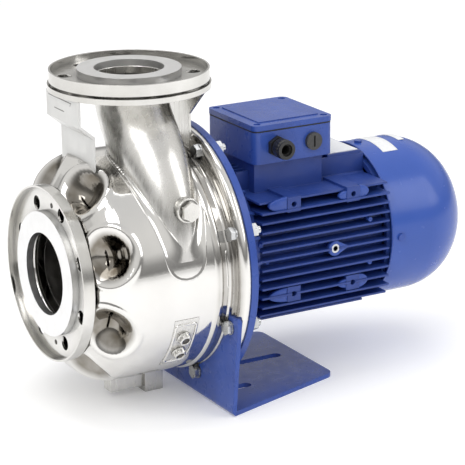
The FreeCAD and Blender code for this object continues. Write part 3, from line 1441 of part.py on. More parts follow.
rear_flange = size("rear_flange", 20, "rear shield length")
rear_web = size("rear_web", 7, "rear shield web thickness")
spring_thick = size("spring_thick", 0.8, "wave spring thickness")
cover_front = size("cover_front", 454, "front rim of the fan cover")
cover_back = size("cover_back", 599, "rear end of the fan cover")
cover_radius = size("cover_radius", 105, "fan cover radius")
cover_dome = size("cover_dome", 82, "fan cover's rounding")
cover_wall = size("cover_wall", 2, "fan cover sheet")
grille_slots = size("grille_slots", 24, "slots in each ring of the fan cover's grille")
grille_first = size("grille_first", 24, "inner ring of grille slots")
grille_pitch = size("grille_pitch", 10, "distance between rings of grille slots")
grille_half = size("grille_half", 3, "half run of a grille slot")
grille_wide = size("grille_wide", 1.6, "half width of a grille slot")
cover_screw_at = size("cover_screw_at", 467, "fan cover screws along the shaft")
cover_screw = size("cover_screw", 2.5, "fan cover screw radius")
cover_head = size("cover_head", 5, "fan cover screw head radius")
cover_head_high = size("cover_head_high", 3, "fan cover screw head height")
cover_screw_long = size("cover_screw_long", 12, "fan cover screw length")
cover_lug = size("cover_lug", 8, "half width of the rear shield's lugs")
fan_front = size("fan_front", 484, "fan disc front face")
fan_disc = size("fan_disc", 3, "fan disc thickness")
fan_radius = size("fan_radius", 90, "fan radius")
fan_hub = size("fan_hub", 20, "fan hub radius")
fan_hub_long = size("fan_hub_long", 22, "fan hub length")
fan_blades = size("fan_blades", 9, "fan blades")
blade_long = size("blade_long", 26, "fan blade length along the shaft")
blade_thick = size("blade_thick", 2.4, "fan blade thickness")
clamp_wall = size("clamp_wall", 3, "fan clamp wall")
clamp_long = size("clamp_long", 7, "fan clamp length")

shield_rear_end = frame_back + rear_flange
web_front = shield_rear_end - rear_web
rear_shield = Piece("rear_end_shield")
rear_shield.turn([
    (frame_back, shield_nose - shield_wall), (frame_back, shield_nose),
    (shield_rear_end, shield_nose), (shield_rear_end, rear_seat + wall / 2),
    (web_front, rear_seat + wall / 2), (web_front, rear_outer + seat_gap),
    (rear_bearing, rear_outer + seat_gap), (rear_bearing, rear_outer + shield_wall),
    (web_front, rear_outer + shield_wall), (web_front, shield_nose - shield_wall),
])
lug_pad = rear_shield.pad(rear_shield.outline(rear_shield.sketch("floor", shield_nose - shield_wall), [
    (cover_screw_at - cover_lug, -cover_lug), (shield_rear_end, -cover_lug),
    (shield_rear_end, cover_lug), (cover_screw_at - cover_lug, cover_lug),
]), cover_radius - cover_wall - shield_nose + shield_wall - seat_gap - run_gap)
lug_bore = rear_shield.pocket(
    rear_shield.circle(
        rear_shield.sketch("floor", cover_radius), cover_screw_at, ZERO, cover_screw + seat_gap,
    ),
    cover_screw_long + seat_gap,
)
rear_shield.around([lug_pad, lug_bore], as_size(4))
keep(rear_shield.body, "rear_end_shield")

preload = Piece("wave_spring")
preload.turn(ring_points(
    rear_bearing + rear_wide, rear_bearing + rear_wide + spring_thick,
    rear_outer - wall * 2, rear_outer - run_gap,
))
keep(preload.body, "wave_spring")

cover = Piece("fan_cover", refine=True)
cover.turn([
    (cover_front, cover_radius - cover_wall), (cover_front, cover_radius),
    (cover_back, cover_radius), (cover_back, ZERO),
    (cover_back - cover_wall, ZERO), (cover_back - cover_wall, cover_radius - cover_wall),
])


def is_ring(edge, along, radius):
    """Whether an edge is a circle about the shaft at a place."""
    return (
        abs(edge.CenterOfMass.x - along) < 0.01
        and abs(edge.BoundBox.YLength - radius * 2) < 0.1
        and edge.BoundBox.XLength < 0.01
    )


cover.soften(
    lambda edge: is_ring(edge, cover_back.value, cover_radius.value), cover_dome,
)
cover.soften(
    lambda edge: is_ring(edge, (cover_back - cover_wall).value, (cover_radius - cover_wall).value),
    cover_dome - cover_wall,
)
grille = []
for i in range(4):
    sketch = cover.sketch("end", cover_back)
    cover.slot(sketch, ZERO, grille_first + grille_pitch * i, grille_half, grille_wide, upright=True)
    grille.append(cover.pocket(sketch, cover_dome / 2))
cover.around(grille, grille_slots)
bores = cover.pocket(
    cover.circle(cover.sketch("floor", cover_radius), cover_screw_at, ZERO, cover_screw + seat_gap),
    cover_wall * 2,
)
cover.around([bores], as_size(4))
keep(cover.body, "fan_cover")

cover_screws = Piece("fan_cover_screws")
screw_head = cover_screws.pad(
    cover_screws.circle(cover_screws.sketch("floor", cover_radius), cover_screw_at, ZERO, cover_head),
    cover_head_high,
)
screw_shank = cover_screws.pad(
    cover_screws.circle(cover_screws.sketch("floor", cover_radius), cover_screw_at, ZERO, cover_screw),
    cover_screw_long, back=True,
)
cover_screws.around([screw_head, screw_shank], as_size(4))
keep(fuse("lid_and_cover_screws", lid_screws.body, cover_screws.body), "lid_and_cover_screws")

fan = Piece("fan_blank")
fan.turn(ring_points(fan_front, fan_front + fan_hub_long, fan_seat + seat_gap, fan_hub))
fan.turn(ring_points(fan_front, fan_front + fan_disc, fan_hub - clamp_wall, fan_radius))
blade = fan.pad(fan.outline(fan.sketch("side"), [
    (fan_front + fan_disc / 2, fan_hub - clamp_wall), (fan_front + fan_disc / 2, fan_radius),
    (fan_front + blade_long, fan_radius), (fan_front + fan_hub_long / 2, fan_hub - clamp_wall),
]), blade_thick, both=True)
fan.around([blade], fan_blades)
fan_space = Piece("fan_clamp_space")
fan_space.turn(ring_points(
    fan_front + fan_hub_long - clamp_long - seat_gap, fan_front + blade_long,
    fan_hub - clamp_wall, fan_hub + clamp_wall + run_gap,
))
keep(cut("cooling_fan", fan.body, fan_space.body), "cooling_fan")
clamp = Piece("fan_clamp")
clamp.turn(ring_points(
    fan_front + fan_hub_long - clamp_long, fan_front + fan_hub_long,
    fan_hub - clamp_wall + seat_gap, fan_hub + clamp_wall,
))
keep(clamp.body, "fan_clamp")

# Every object is made and sound before anything is written

doc.recompute()
faults = [
    thing.Name for thing in doc.Objects if "Invalid" in thing.State or "Error" in thing.State
]
faults += [
    thing.Label for thing in made_pieces if thing.Shape.isNull() or not thing.Shape.isValid()
]
if faults:
    raise SystemExit("faulty objects: " + ", ".join(faults))

os.makedirs("parts", exist_ok=True)
for thing in made_pieces:
    thing.Shape.exportStep(f"parts/{thing.Label}.step")
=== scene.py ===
"""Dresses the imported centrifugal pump: casing, pipe, ports, motor and studio."""

import logging
import math
from dataclasses import dataclass, field
from enum import Enum
from typing import Sequence

import bmesh
import bpy
import numpy as np
from mathutils import Matrix, Vector

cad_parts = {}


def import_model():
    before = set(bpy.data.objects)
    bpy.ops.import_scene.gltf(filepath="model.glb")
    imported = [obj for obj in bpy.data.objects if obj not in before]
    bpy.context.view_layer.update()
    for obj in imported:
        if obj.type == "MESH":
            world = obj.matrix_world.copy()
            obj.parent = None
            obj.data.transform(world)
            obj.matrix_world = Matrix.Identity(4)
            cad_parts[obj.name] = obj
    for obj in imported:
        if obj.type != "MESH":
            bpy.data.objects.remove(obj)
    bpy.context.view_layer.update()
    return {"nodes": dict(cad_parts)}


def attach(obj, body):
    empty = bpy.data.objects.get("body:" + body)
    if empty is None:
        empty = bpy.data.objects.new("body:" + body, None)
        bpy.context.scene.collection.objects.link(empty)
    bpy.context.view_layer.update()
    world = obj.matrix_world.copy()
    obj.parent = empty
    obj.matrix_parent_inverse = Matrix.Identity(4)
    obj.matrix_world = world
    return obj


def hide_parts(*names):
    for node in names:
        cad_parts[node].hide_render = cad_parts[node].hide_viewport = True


LOG = logging.getLogger("pump")
MM = 0.001
HOUSING = "housing"
Array = np.ndarray
Colour = tuple[float, float, float]


class Slot(Enum):
    """The record's material slots."""

    POLISHED = "polished_steel"
    SATIN = "satin_steel"
    PAINT = "blue_paint"
    ZINC = "zinc_steel"
    PLASTIC = "black_plastic"
    LABEL = "label"


# Finishes


class Graph:
    """A material's node tree with short calls for the nodes that the finishes share."""

    def __init__(self, name: str) -> None:
        """Starts an empty principled material.

        Args:
            name: the material's name.
        """
        self.material = bpy.data.materials.new(name)
        self.material.use_nodes = True
        self.nodes = self.material.node_tree.nodes
        self.links = self.material.node_tree.links
        self.shader = self.nodes["Principled BSDF"]
        self.place = self.nodes.new("ShaderNodeTexCoord").outputs["Object"]

    def put(self, socket: str, value: object) -> None:
        """Sets or links one input of the shader."""
        self.feed(self.shader.inputs[socket], value)

    def feed(self, socket: bpy.types.NodeSocket, value: object) -> None:
        """Sets a socket to a plain value, or links it to another socket."""
        if isinstance(value, bpy.types.NodeSocket):
            self.links.new(value, socket)
        elif isinstance(value, tuple) and len(value) == 3 and socket.type == "RGBA":
            socket.default_value = (*value, 1.0)
        else:
            socket.default_value = value

    def stretched(self, stretch: tuple[float, float, float]) -> bpy.types.NodeSocket:
        """Object coordinates scaled along each axis.

        Args:
            stretch: the factor along x, y and z.

        Returns:
            The scaled coordinates.
        """
        mapping = self.nodes.new("ShaderNodeMapping")
        self.links.new(self.place, mapping.inputs["Vector"])
        mapping.inputs["Scale"].default_value = stretch
        return mapping.outputs["Vector"]

    def noise(
        self, scale: float, detail: float = 3.0, where: bpy.types.NodeSocket | None = None,
    ) -> bpy.types.NodeSocket:
        """Noise on the object's own coordinates.

        Args:
            scale: features per metre.
            detail: octaves.
            where: coordinates to use in place of the plain ones.

        Returns:
            The noise value.
        """
        node = self.nodes.new("ShaderNodeTexNoise")
        self.links.new(where or self.place, node.inputs["Vector"])
        node.inputs["Scale"].default_value = scale
        node.inputs["Detail"].default_value = detail
        return node.outputs["Fac"]

    def span(
        self, source: bpy.types.NodeSocket, low: float, high: float, start: float = 0.3, end: float = 0.7,
    ) -> bpy.types.NodeSocket:
        """Maps a source from start..end to low..high.

        Args:
            source: the value to map.
            low: result at start.
            high: result at end.
            start: source value that gives low.
            end: source value that gives high.

        Returns:
            The mapped value.
        """
        node = self.nodes.new("ShaderNodeMapRange")
        self.links.new(source, node.inputs["Value"])
        for word, value in (("From Min", start), ("From Max", end), ("To Min", low), ("To Max", high)):
            node.inputs[word].default_value = value
        return node.outputs["Result"]

    def mix(self, share: object, first: object, second: object) -> bpy.types.NodeSocket:
        """Mixes two colours.

        Args:
            share: 0 for the first, 1 for the second.
            first: a colour or socket.
            second: a colour or socket.

        Returns:
            The mixed colour.
        """
        node = self.nodes.new("ShaderNodeMix")
        node.data_type = "RGBA"
        self.feed(node.inputs["Factor"], share)
        self.feed(node.inputs["A"], first)
        self.feed(node.inputs["B"], second)
        return node.outputs["Result"]

    def attribute(self, name: str) -> bpy.types.NodeSocket:
        """The value of one of the mesh's own attributes."""
        node = self.nodes.new("ShaderNodeAttribute")
        node.attribute_name = name
        return node.outputs["Fac"]

    def paint_crevice_shade(self, colour: object, reach: float, share: float) -> bpy.types.NodeSocket:
        """Paints shade into a colour where the surface is hemmed in, through an ambient occlusion node.

        Args:
            colour: the open surface's colour.
            reach: how far a neighbour counts, in metres.
            share: how dark the painted shade gets where the surface is most hemmed in, 0 for black.

        Returns:
            The colour with painted shade.
        """
        hollow = self.nodes.new("ShaderNodeAmbientOcclusion")
        hollow.samples = 4
        hollow.inputs["Distance"].default_value = reach
        node = self.nodes.new("ShaderNodeMix")
        node.data_type = "RGBA"
        node.blend_type = "MULTIPLY"
        node.inputs["Factor"].default_value = 1.0
        self.feed(node.inputs["A"], colour)
        level = self.span(hollow.outputs["AO"], share, 1.0, 0.1, 0.9)
        self.links.new(level, node.inputs["B"])
        return node.outputs["Result"]

    def relief(self, height: bpy.types.NodeSocket | None, depth: float, edge: float) -> None:
        """Gives the surface fine relief over softened edges.

        Args:
            height: the height value, or None for softened edges alone.
            depth: relief depth in metres.
            edge: radius that the edges are softened by, in metres.
        """
        soft = self.nodes.new("ShaderNodeBevel")
        soft.samples = 4
        soft.inputs["Radius"].default_value = edge
        normal = soft.outputs["Normal"]
        if height is not None:
            bump = self.nodes.new("ShaderNodeBump")
            bump.inputs["Strength"].default_value = 1.0
            bump.inputs["Distance"].default_value = depth
            self.links.new(height, bump.inputs["Height"])
            self.links.new(normal, bump.inputs["Normal"])
            normal = bump.outputs["Normal"]
        self.links.new(normal, self.shader.inputs["Normal"])


@dataclass(frozen=True)
class Steel:
    """Bare metal: tinted noise for colour, stretched noise for the grain of the finish."""

    name: str
    colour: Colour
    dull: Colour
    rough: tuple[float, float]
    grain: tuple[float, float, float] = (1.0, 1.0, 1.0)
    grain_scale: float = 60.0
    wave: float = 0.0
    edge: float = 0.0006

    def build(self) -> bpy.types.Material:
        """Makes the material."""
        graph = Graph(self.name)
        cloud = graph.noise(self.grain_scale / 6, 4.0)
        line = graph.noise(self.grain_scale, 5.0, graph.stretched(self.grain))
        open_colour = graph.mix(graph.span(cloud, 0.0, 1.0), self.colour, self.dull)
        # Painted shade: an ambient occlusion node darkens the base colour in recesses.
        graph.put("Base Color", graph.paint_crevice_shade(open_colour, 0.012, 0.3))
        graph.put("Metallic", 1.0)
        graph.put("Roughness", graph.span(line, *self.rough))
        graph.relief(graph.noise(self.grain_scale / 3, 1.0), self.wave, self.edge)
        return graph.material


@dataclass(frozen=True)
class Mirror:
    """Polished sheet steel with a per-point attribute that paints a dark brown reflection into it."""

    name: str
    colour: Colour
    dull: Colour
    dark: Colour
    rough: tuple[float, float]
    wave: float

    def build(self) -> bpy.types.Material:
        """Makes the material."""
        graph = Graph(self.name)
        cloud = graph.noise(14.0, 3.0)
        plain_tone = graph.mix(graph.span(cloud, 0.0, 1.0), self.colour, self.dull)
        fine = graph.span(graph.noise(260.0, 3.0), 0.85, 1.0)
        # Painted dark reflection: a brown-black that the per-point attribute mixes in.
        reflected_dark = graph.mix(graph.span(graph.noise(45.0, 2.0), 0.0, 0.35), self.dark, self.dull)
        with_reflection = graph.mix(graph.attribute("painted_reflection"), plain_tone, reflected_dark)
        # Painted shade in recesses, over the painted dark reflection.
        graph.put("Base Color", graph.paint_crevice_shade(with_reflection, 0.008, 0.55))
        graph.put("Metallic", 1.0)
        graph.put("Roughness", graph.span(fine, *self.rough, start=0.85, end=1.0))
        graph.relief(graph.noise(24.0, 1.0), self.wave, 0.0008)
        return graph.material


@dataclass(frozen=True)
class Enamel:
    """Sprayed paint with a light orange peel and dust-dulled patches."""

    name: str
    colour: Colour
    shade: Colour
    rough: tuple[float, float] = (0.24, 0.36)
    peel: float = 0.00006
    edge: float = 0.0009

    def build(self) -> bpy.types.Material:
        """Makes the material."""
        graph = Graph(self.name)
        cloud = graph.noise(22.0, 4.0)
        graph.put("Base Color", graph.mix(graph.span(cloud, 0.0, 1.0), self.colour, self.shade))
        graph.put("Roughness", graph.span(graph.noise(70.0, 4.0), *self.rough))
        graph.put("Specular IOR Level", 0.32)
        graph.put("Coat Weight", 0.12)
        graph.put("Coat Roughness", 0.12)
        graph.relief(graph.noise(900.0, 2.0), self.peel, self.edge)
        return graph.material


@dataclass(frozen=True)
class Moulded:
    """Plain moulded or sintered stuff: plastic, rubber, ceramic, carbon or card."""

    name: str
    colour: Colour
    speck: Colour
    rough: tuple[float, float]
    grain: float = 1500.0
    depth: float = 0.00003
    edge: float = 0.0004

    def build(self) -> bpy.types.Material:
        """Makes the material."""
        graph = Graph(self.name)
        graph.put("Base Color", graph.mix(graph.span(graph.noise(300.0), 0.0, 1.0), self.colour, self.speck))
        graph.put("Roughness", graph.span(graph.noise(90.0), *self.rough))
        graph.relief(graph.noise(self.grain, 2.0), self.depth, self.edge)
        return graph.material


class Finish(Enum):
    """Every finish on the pump."""

    MIRROR = Mirror(
        "polished_sheet", (0.80, 0.79, 0.77), (0.72, 0.71, 0.69), (0.17, 0.15, 0.12), (0.05, 0.12), 0.0003,
    )
    # Near-black steel as painted shade: shadow lines along edges and seams, and the shade in holes, grooves and
    # sockets.
    PAINTED_SHADE = Steel("seam_shadow", (0.16, 0.15, 0.14), (0.10, 0.10, 0.09), (0.35, 0.50))
    RIM = Steel(
        "polished_rim", (0.74, 0.73, 0.71), (0.60, 0.59, 0.56), (0.10, 0.22), (1.0, 0.2, 0.2), 90.0, 0.00005,
    )
    FACED = Steel(
        "faced_steel", (0.86, 0.86, 0.86), (0.80, 0.80, 0.80), (0.28, 0.40), (0.1, 1.0, 1.0), 300.0, 0.00001,
    )
    SATIN = Steel(
        "satin_steel", (0.76, 0.75, 0.73), (0.64, 0.63, 0.60), (0.20, 0.32), (1.0, 1.0, 0.12), 160.0, 0.0001,
    )
    SHEET = Steel(
        "bracket_sheet", (0.78, 0.78, 0.77), (0.70, 0.70, 0.69), (0.42, 0.55), (1.0, 1.0, 0.3), 120.0, 0.00008,
    )
    BORE = Steel(
        "bore_steel", (0.30, 0.29, 0.27), (0.20, 0.19, 0.18), (0.25, 0.45), (1.0, 0.3, 0.3), 120.0, 0.00005,
    )
    ZINC = Steel(
        "zinc_plate", (0.66, 0.67, 0.68), (0.50, 0.51, 0.52), (0.20, 0.34), (1.0, 1.0, 1.0), 90.0, 0.0, 0.0004,
    )
    GROUND = Steel(
        "ground_steel", (0.60, 0.60, 0.61), (0.50, 0.50, 0.51), (0.18, 0.30), (0.1, 1.0, 1.0), 300.0, 0.00001,
    )
    CORE = Steel(
        "laminations", (0.34, 0.34, 0.36), (0.22, 0.22, 0.24), (0.40, 0.60), (20.0, 0.2, 0.2), 60.0, 0.0001,
    )
    COPPER = Steel(
        "varnished_copper", (0.62, 0.27, 0.12), (0.45, 0.17, 0.07), (0.30, 0.45), (0.3, 3.0, 3.0), 200.0, 0.0002,
    )
    PAINT = Enamel("blue_enamel", (0.036, 0.085, 0.36), (0.030, 0.070, 0.31))
    DEEP_PAINT = Enamel(
        "blue_enamel_rough", (0.026, 0.062, 0.28), (0.019, 0.046, 0.22), (0.30, 0.48), 0.00015, 0.0012,
    )
    SHELL_PAINT = Enamel(
        "blue_enamel_gloss", (0.042, 0.098, 0.40), (0.038, 0.090, 0.37), (0.20, 0.28), 0.00003, 0.0012,
    )
    PLASTIC = Moulded("black_plastic", (0.012, 0.012, 0.012), (0.022, 0.022, 0.022), (0.32, 0.48))
    GREY_PLASTIC = Moulded("dark_grey_plastic", (0.035, 0.035, 0.037), (0.050, 0.050, 0.050), (0.40, 0.55))
    RUBBER = Moulded("black_rubber", (0.010, 0.010, 0.010), (0.016, 0.016, 0.016), (0.60, 0.80))
    CARBON = Moulded("carbon_ring", (0.030, 0.030, 0.032), (0.045, 0.045, 0.045), (0.30, 0.42))
    CERAMIC = Moulded("ceramic_ring", (0.82, 0.80, 0.74), (0.76, 0.74, 0.68), (0.25, 0.35))
    LABEL = Moulded("blank_label", (0.80, 0.81, 0.82), (0.72, 0.73, 0.75), (0.35, 0.50), 600.0, 0.00002, 0.0002)


class Paintbox:
    """Builds each finish once and hands it out."""

    def __init__(self) -> None:
        """Starts with nothing built."""
        self.made: dict[Finish, bpy.types.Material] = {}

    def get(self, finish: Finish) -> bpy.types.Material:
        """The material of a finish.

        Args:
            finish: which finish.

        Returns:
            Its material.
        """
        if finish not in self.made:
            self.made[finish] = finish.value.build()
        return self.made[finish]

    def dress(self, thing: bpy.types.Object, finish: Finish) -> None:
        """Gives an object one finish in all its slots."""
        material = self.get(finish)
        thing.data.materials.clear()
        thing.data.materials.append(material)


PAINTBOX = Paintbox()


# Surfaces on grids


def grid_faces(rows: int, columns: int, wrap_rows: bool = False, wrap_columns: bool = False) -> Array:
    """The four-sided faces of a grid of points that is numbered row by row.

    Args:
        rows: points along the first direction.
        columns: points along the second direction.
        wrap_rows: whether the last row joins the first.
        wrap_columns: whether the last column joins the first.

    Returns:
        Point numbers, four to a face.
    """
    row = np.arange(rows if wrap_rows else rows - 1)[:, None]
    column = np.arange(columns if wrap_columns else columns - 1)[None, :]
    below, beside = (row + 1) % rows, (column + 1) % columns
    corners = [row * columns + column, row * columns + beside, below * columns + beside, below * columns + column]
    return np.stack([np.broadcast_to(c, (row.size, column.size)).ravel() for c in corners], axis=1)


def tube_faces(rows: int, columns: int) -> list[list[int]]:
    """The faces of a tube of closed rings, with a flat face across each end."""
    ends = [list(range(columns)), [(rows - 1) * columns + i for i in reversed(range(columns))]]
    return grid_faces(rows, columns, wrap_columns=True).tolist() + ends


def add_mesh(name: str, points: Array, faces: Sequence, finish: Finish) -> bpy.types.Object:
    """Makes a smooth-shaded piece of the housing from points in millimetres and faces.

    Args:
        name: the piece's name.
        points: its points, in millimetres.
        faces: point numbers of each face.
        finish: its finish.

    Returns:
        The new object.
    """
    mesh = bpy.data.meshes.new(name)
    corners = (np.asarray(points, float).reshape(-1, 3) * MM).tolist()
    mesh.from_pydata(corners, [], faces.tolist() if isinstance(faces, np.ndarray) else faces)
    mesh.polygons.foreach_set("use_smooth", np.full(len(mesh.polygons), True))
    mesh.validate()
    mesh.update()
    thing = bpy.data.objects.new(name, mesh)
    bpy.context.scene.collection.objects.link(thing)
    PAINTBOX.dress(thing, finish)
    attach(thing, HOUSING)
    return thing


def face_outward(thing: bpy.types.Object) -> bpy.types.Object:
    """Turns a closed mesh's faces outward, after its doubles are merged."""
    work = bmesh.new()
    work.from_mesh(thing.data)
    bmesh.ops.remove_doubles(work, verts=work.verts, dist=1e-6)
    bmesh.ops.recalc_face_normals(work, faces=work.faces)
    work.to_mesh(thing.data)
    work.free()
    return thing


def add_wall(thing: bpy.types.Object, thickness: float) -> None:
    """Gives an open skin a wall that grows inward, in millimetres."""
    wall = thing.modifiers.new("wall", "SOLIDIFY")
    wall.thickness = thickness * MM
    wall.offset = -1.0


def rounded(corners: Sequence[tuple[float, float, float]], steps: int = 5) -> Array:
    """A polyline whose corners are rounded: each corner becomes a parabola between points set back along its sides.

    Args:
        corners: (x, y, set-back) of each corner.
        steps: points on each rounded corner.

    Returns:
        The points of the line.
    """
    spots = np.array([c[:2] for c in corners], float)
    line = [spots[0]]
    for before, here, after, (_, _, back) in zip(spots, spots[1:], spots[2:], corners[1:-1]):
        if back <= 0:
            line.append(here)
            continue
        start = here + (before - here) / np.linalg.norm(before - here) * back
        end = here + (after - here) / np.linalg.norm(after - here) * back
        for share in np.linspace(0, 1, steps):
            line.append((1 - share) ** 2 * start + 2 * share * (1 - share) * here + share ** 2 * end)
    line.append(spots[-1])
    return np.array(line)


def around_shaft(profile: Array, angles: Array) -> Array:
    """Points of a profile of (x, radius) turned about the shaft; an angle is measured from -Y up to +Z.

    Args:
        profile: (x, radius) rows.
        angles: angles in radians.

    Returns:
        A grid of points, one row for each profile row.
    """
    along, radius = profile[:, 0][:, None], profile[:, 1][:, None]
    flat = np.ones_like(angles)[None, :]
    return np.stack([along * flat, -radius * np.cos(angles)[None, :], radius * np.sin(angles)[None, :]], axis=-1)


def revolve(name: str, profile: Array, finish: Finish, steps: int = 180) -> bpy.types.Object:
    """A closed ring turned about the shaft from a profile of (x, radius).

    Args:
        name: the piece's name.
        profile: the profile, closed by joining its last point to its first.
        finish: its finish.
        steps: points round the shaft.

    Returns:
        The new object.
    """
    angles = np.linspace(0, 2 * np.pi, steps, endpoint=False)
    grid = around_shaft(profile, angles)
    faces = grid_faces(len(profile), steps, wrap_rows=True, wrap_columns=True)
    return face_outward(add_mesh(name, grid, faces, finish))


def sweep(path: Array, normals: Array, section: Array, looped: bool) -> Array:
    """Carries a flat section along a path: section x runs sideways, section y along the path's normal.

    Args:
        path: the path's points.
        normals: a unit normal at each point.
        section: (sideways, outward) rows.
        looped: whether the path closes.

    Returns:
        A grid of points, one row for each path point.
    """
    if looped:
        ahead, behind = np.roll(path, -1, axis=0), np.roll(path, 1, axis=0)
    else:
        ahead = np.vstack([path[1:], path[-1:]])
        behind = np.vstack([path[:1], path[:-1]])
    along = ahead - behind
    along /= np.linalg.norm(along, axis=1)[:, None]
    side = np.cross(along, normals)
    side /= np.linalg.norm(side, axis=1)[:, None]
    return path[:, None, :] + side[:, None, :] * section[None, :, :1] + normals[:, None, :] * section[None, :, 1:]


def add_bead(
    name: str, path: Array, normals: Array, section: Array, finish: Finish, looped: bool = False,
) -> bpy.types.Object:
    """A closed strip swept along a path from a closed section.

    Args:
        name: the piece's name.
        path: the path's points.
        normals: a unit normal at each point.
        section: (sideways, outward) rows of the closed section.
        finish: its finish.
        looped: whether the path closes.

    Returns:
        The new object.
    """
    grid = sweep(path, normals, section, looped)
    rows, columns = len(path), len(section)
    faces = grid_faces(rows, columns, True, True) if looped else tube_faces(rows, columns)
    return face_outward(add_mesh(name, grid, faces, finish))


def half_round(width: float, height: float, sink: float, steps: int = 9) -> Array:
    """A closed section: half an ellipse that stands on a base sunk below the surface."""
    turn = np.linspace(0, np.pi, steps)
    top = np.stack([np.cos(turn) * width / 2, np.sin(turn) * height], axis=1)
    return np.vstack([top, [[-width / 2, -sink], [width / 2, -sink]]])


def smooth_line(points: Sequence, count: int, looped: bool = False) -> Array:
    """A smooth line through points: a Catmull-Rom curve, evenly stepped in its own parameter.

    Args:
        points: the points that it passes through.
        count: points on the result.
        looped: whether it closes.

    Returns:
        The points of the line.
    """
    spots = np.asarray(points, float)
    if looped:
        spots = np.vstack([spots[-1:], spots, spots[:2]])
    else:
        spots = np.vstack([2 * spots[:1] - spots[1:2], spots, 2 * spots[-1:] - spots[-2:-1]])
    spans = len(spots) - 3
    where = np.linspace(0, spans, count, endpoint=not looped)
    index = np.minimum(where.astype(int), spans - 1)
    share = (where - index)[:, None]
    a, b, c, d = (spots[index + i] for i in range(4))
    return 0.5 * (
        2 * b + (c - a) * share + (2 * a - 5 * b + 4 * c - d) * share ** 2 + (3 * b - a - 3 * c + d) * share ** 3
    )


def on_drum(along: Array, angle: Array, radius: Array) -> Array:
    """Points at a place along the shaft, an angle above -Y in radians, and a radius."""
    along, angle, radius = np.broadcast_arrays(along, angle, radius)
    return np.stack([along, -radius * np.cos(angle), radius * np.sin(angle)], axis=-1)


def even_loop(points: Array, count: int) -> Array:
    """A closed line stepped evenly along its own length."""
    closed = np.vstack([points, points[:1]])
    reach = np.concatenate([[0], np.cumsum(np.linalg.norm(np.diff(closed, axis=0), axis=1))])
    where = np.linspace(0, reach[-1], count, endpoint=False)
    return np.stack([np.interp(where, reach, closed[:, i]) for i in range(closed.shape[1])], axis=1)


def calm_loop(values: Array, rounds: int) -> Array:
    """A closed line smoothed by averaging each point with its two neighbours, several times."""
    for _ in range(rounds):
        values = (np.roll(values, 1, axis=0) + 2 * values + np.roll(values, -1, axis=0)) / 4
    return values


def off_shaft(path: Array) -> Array:
    """The unit direction straight away from the shaft at each point."""
    away = path * np.array([0.0, 1.0, 1.0])
    return away / np.linalg.norm(away, axis=1)[:, None]


# The casing


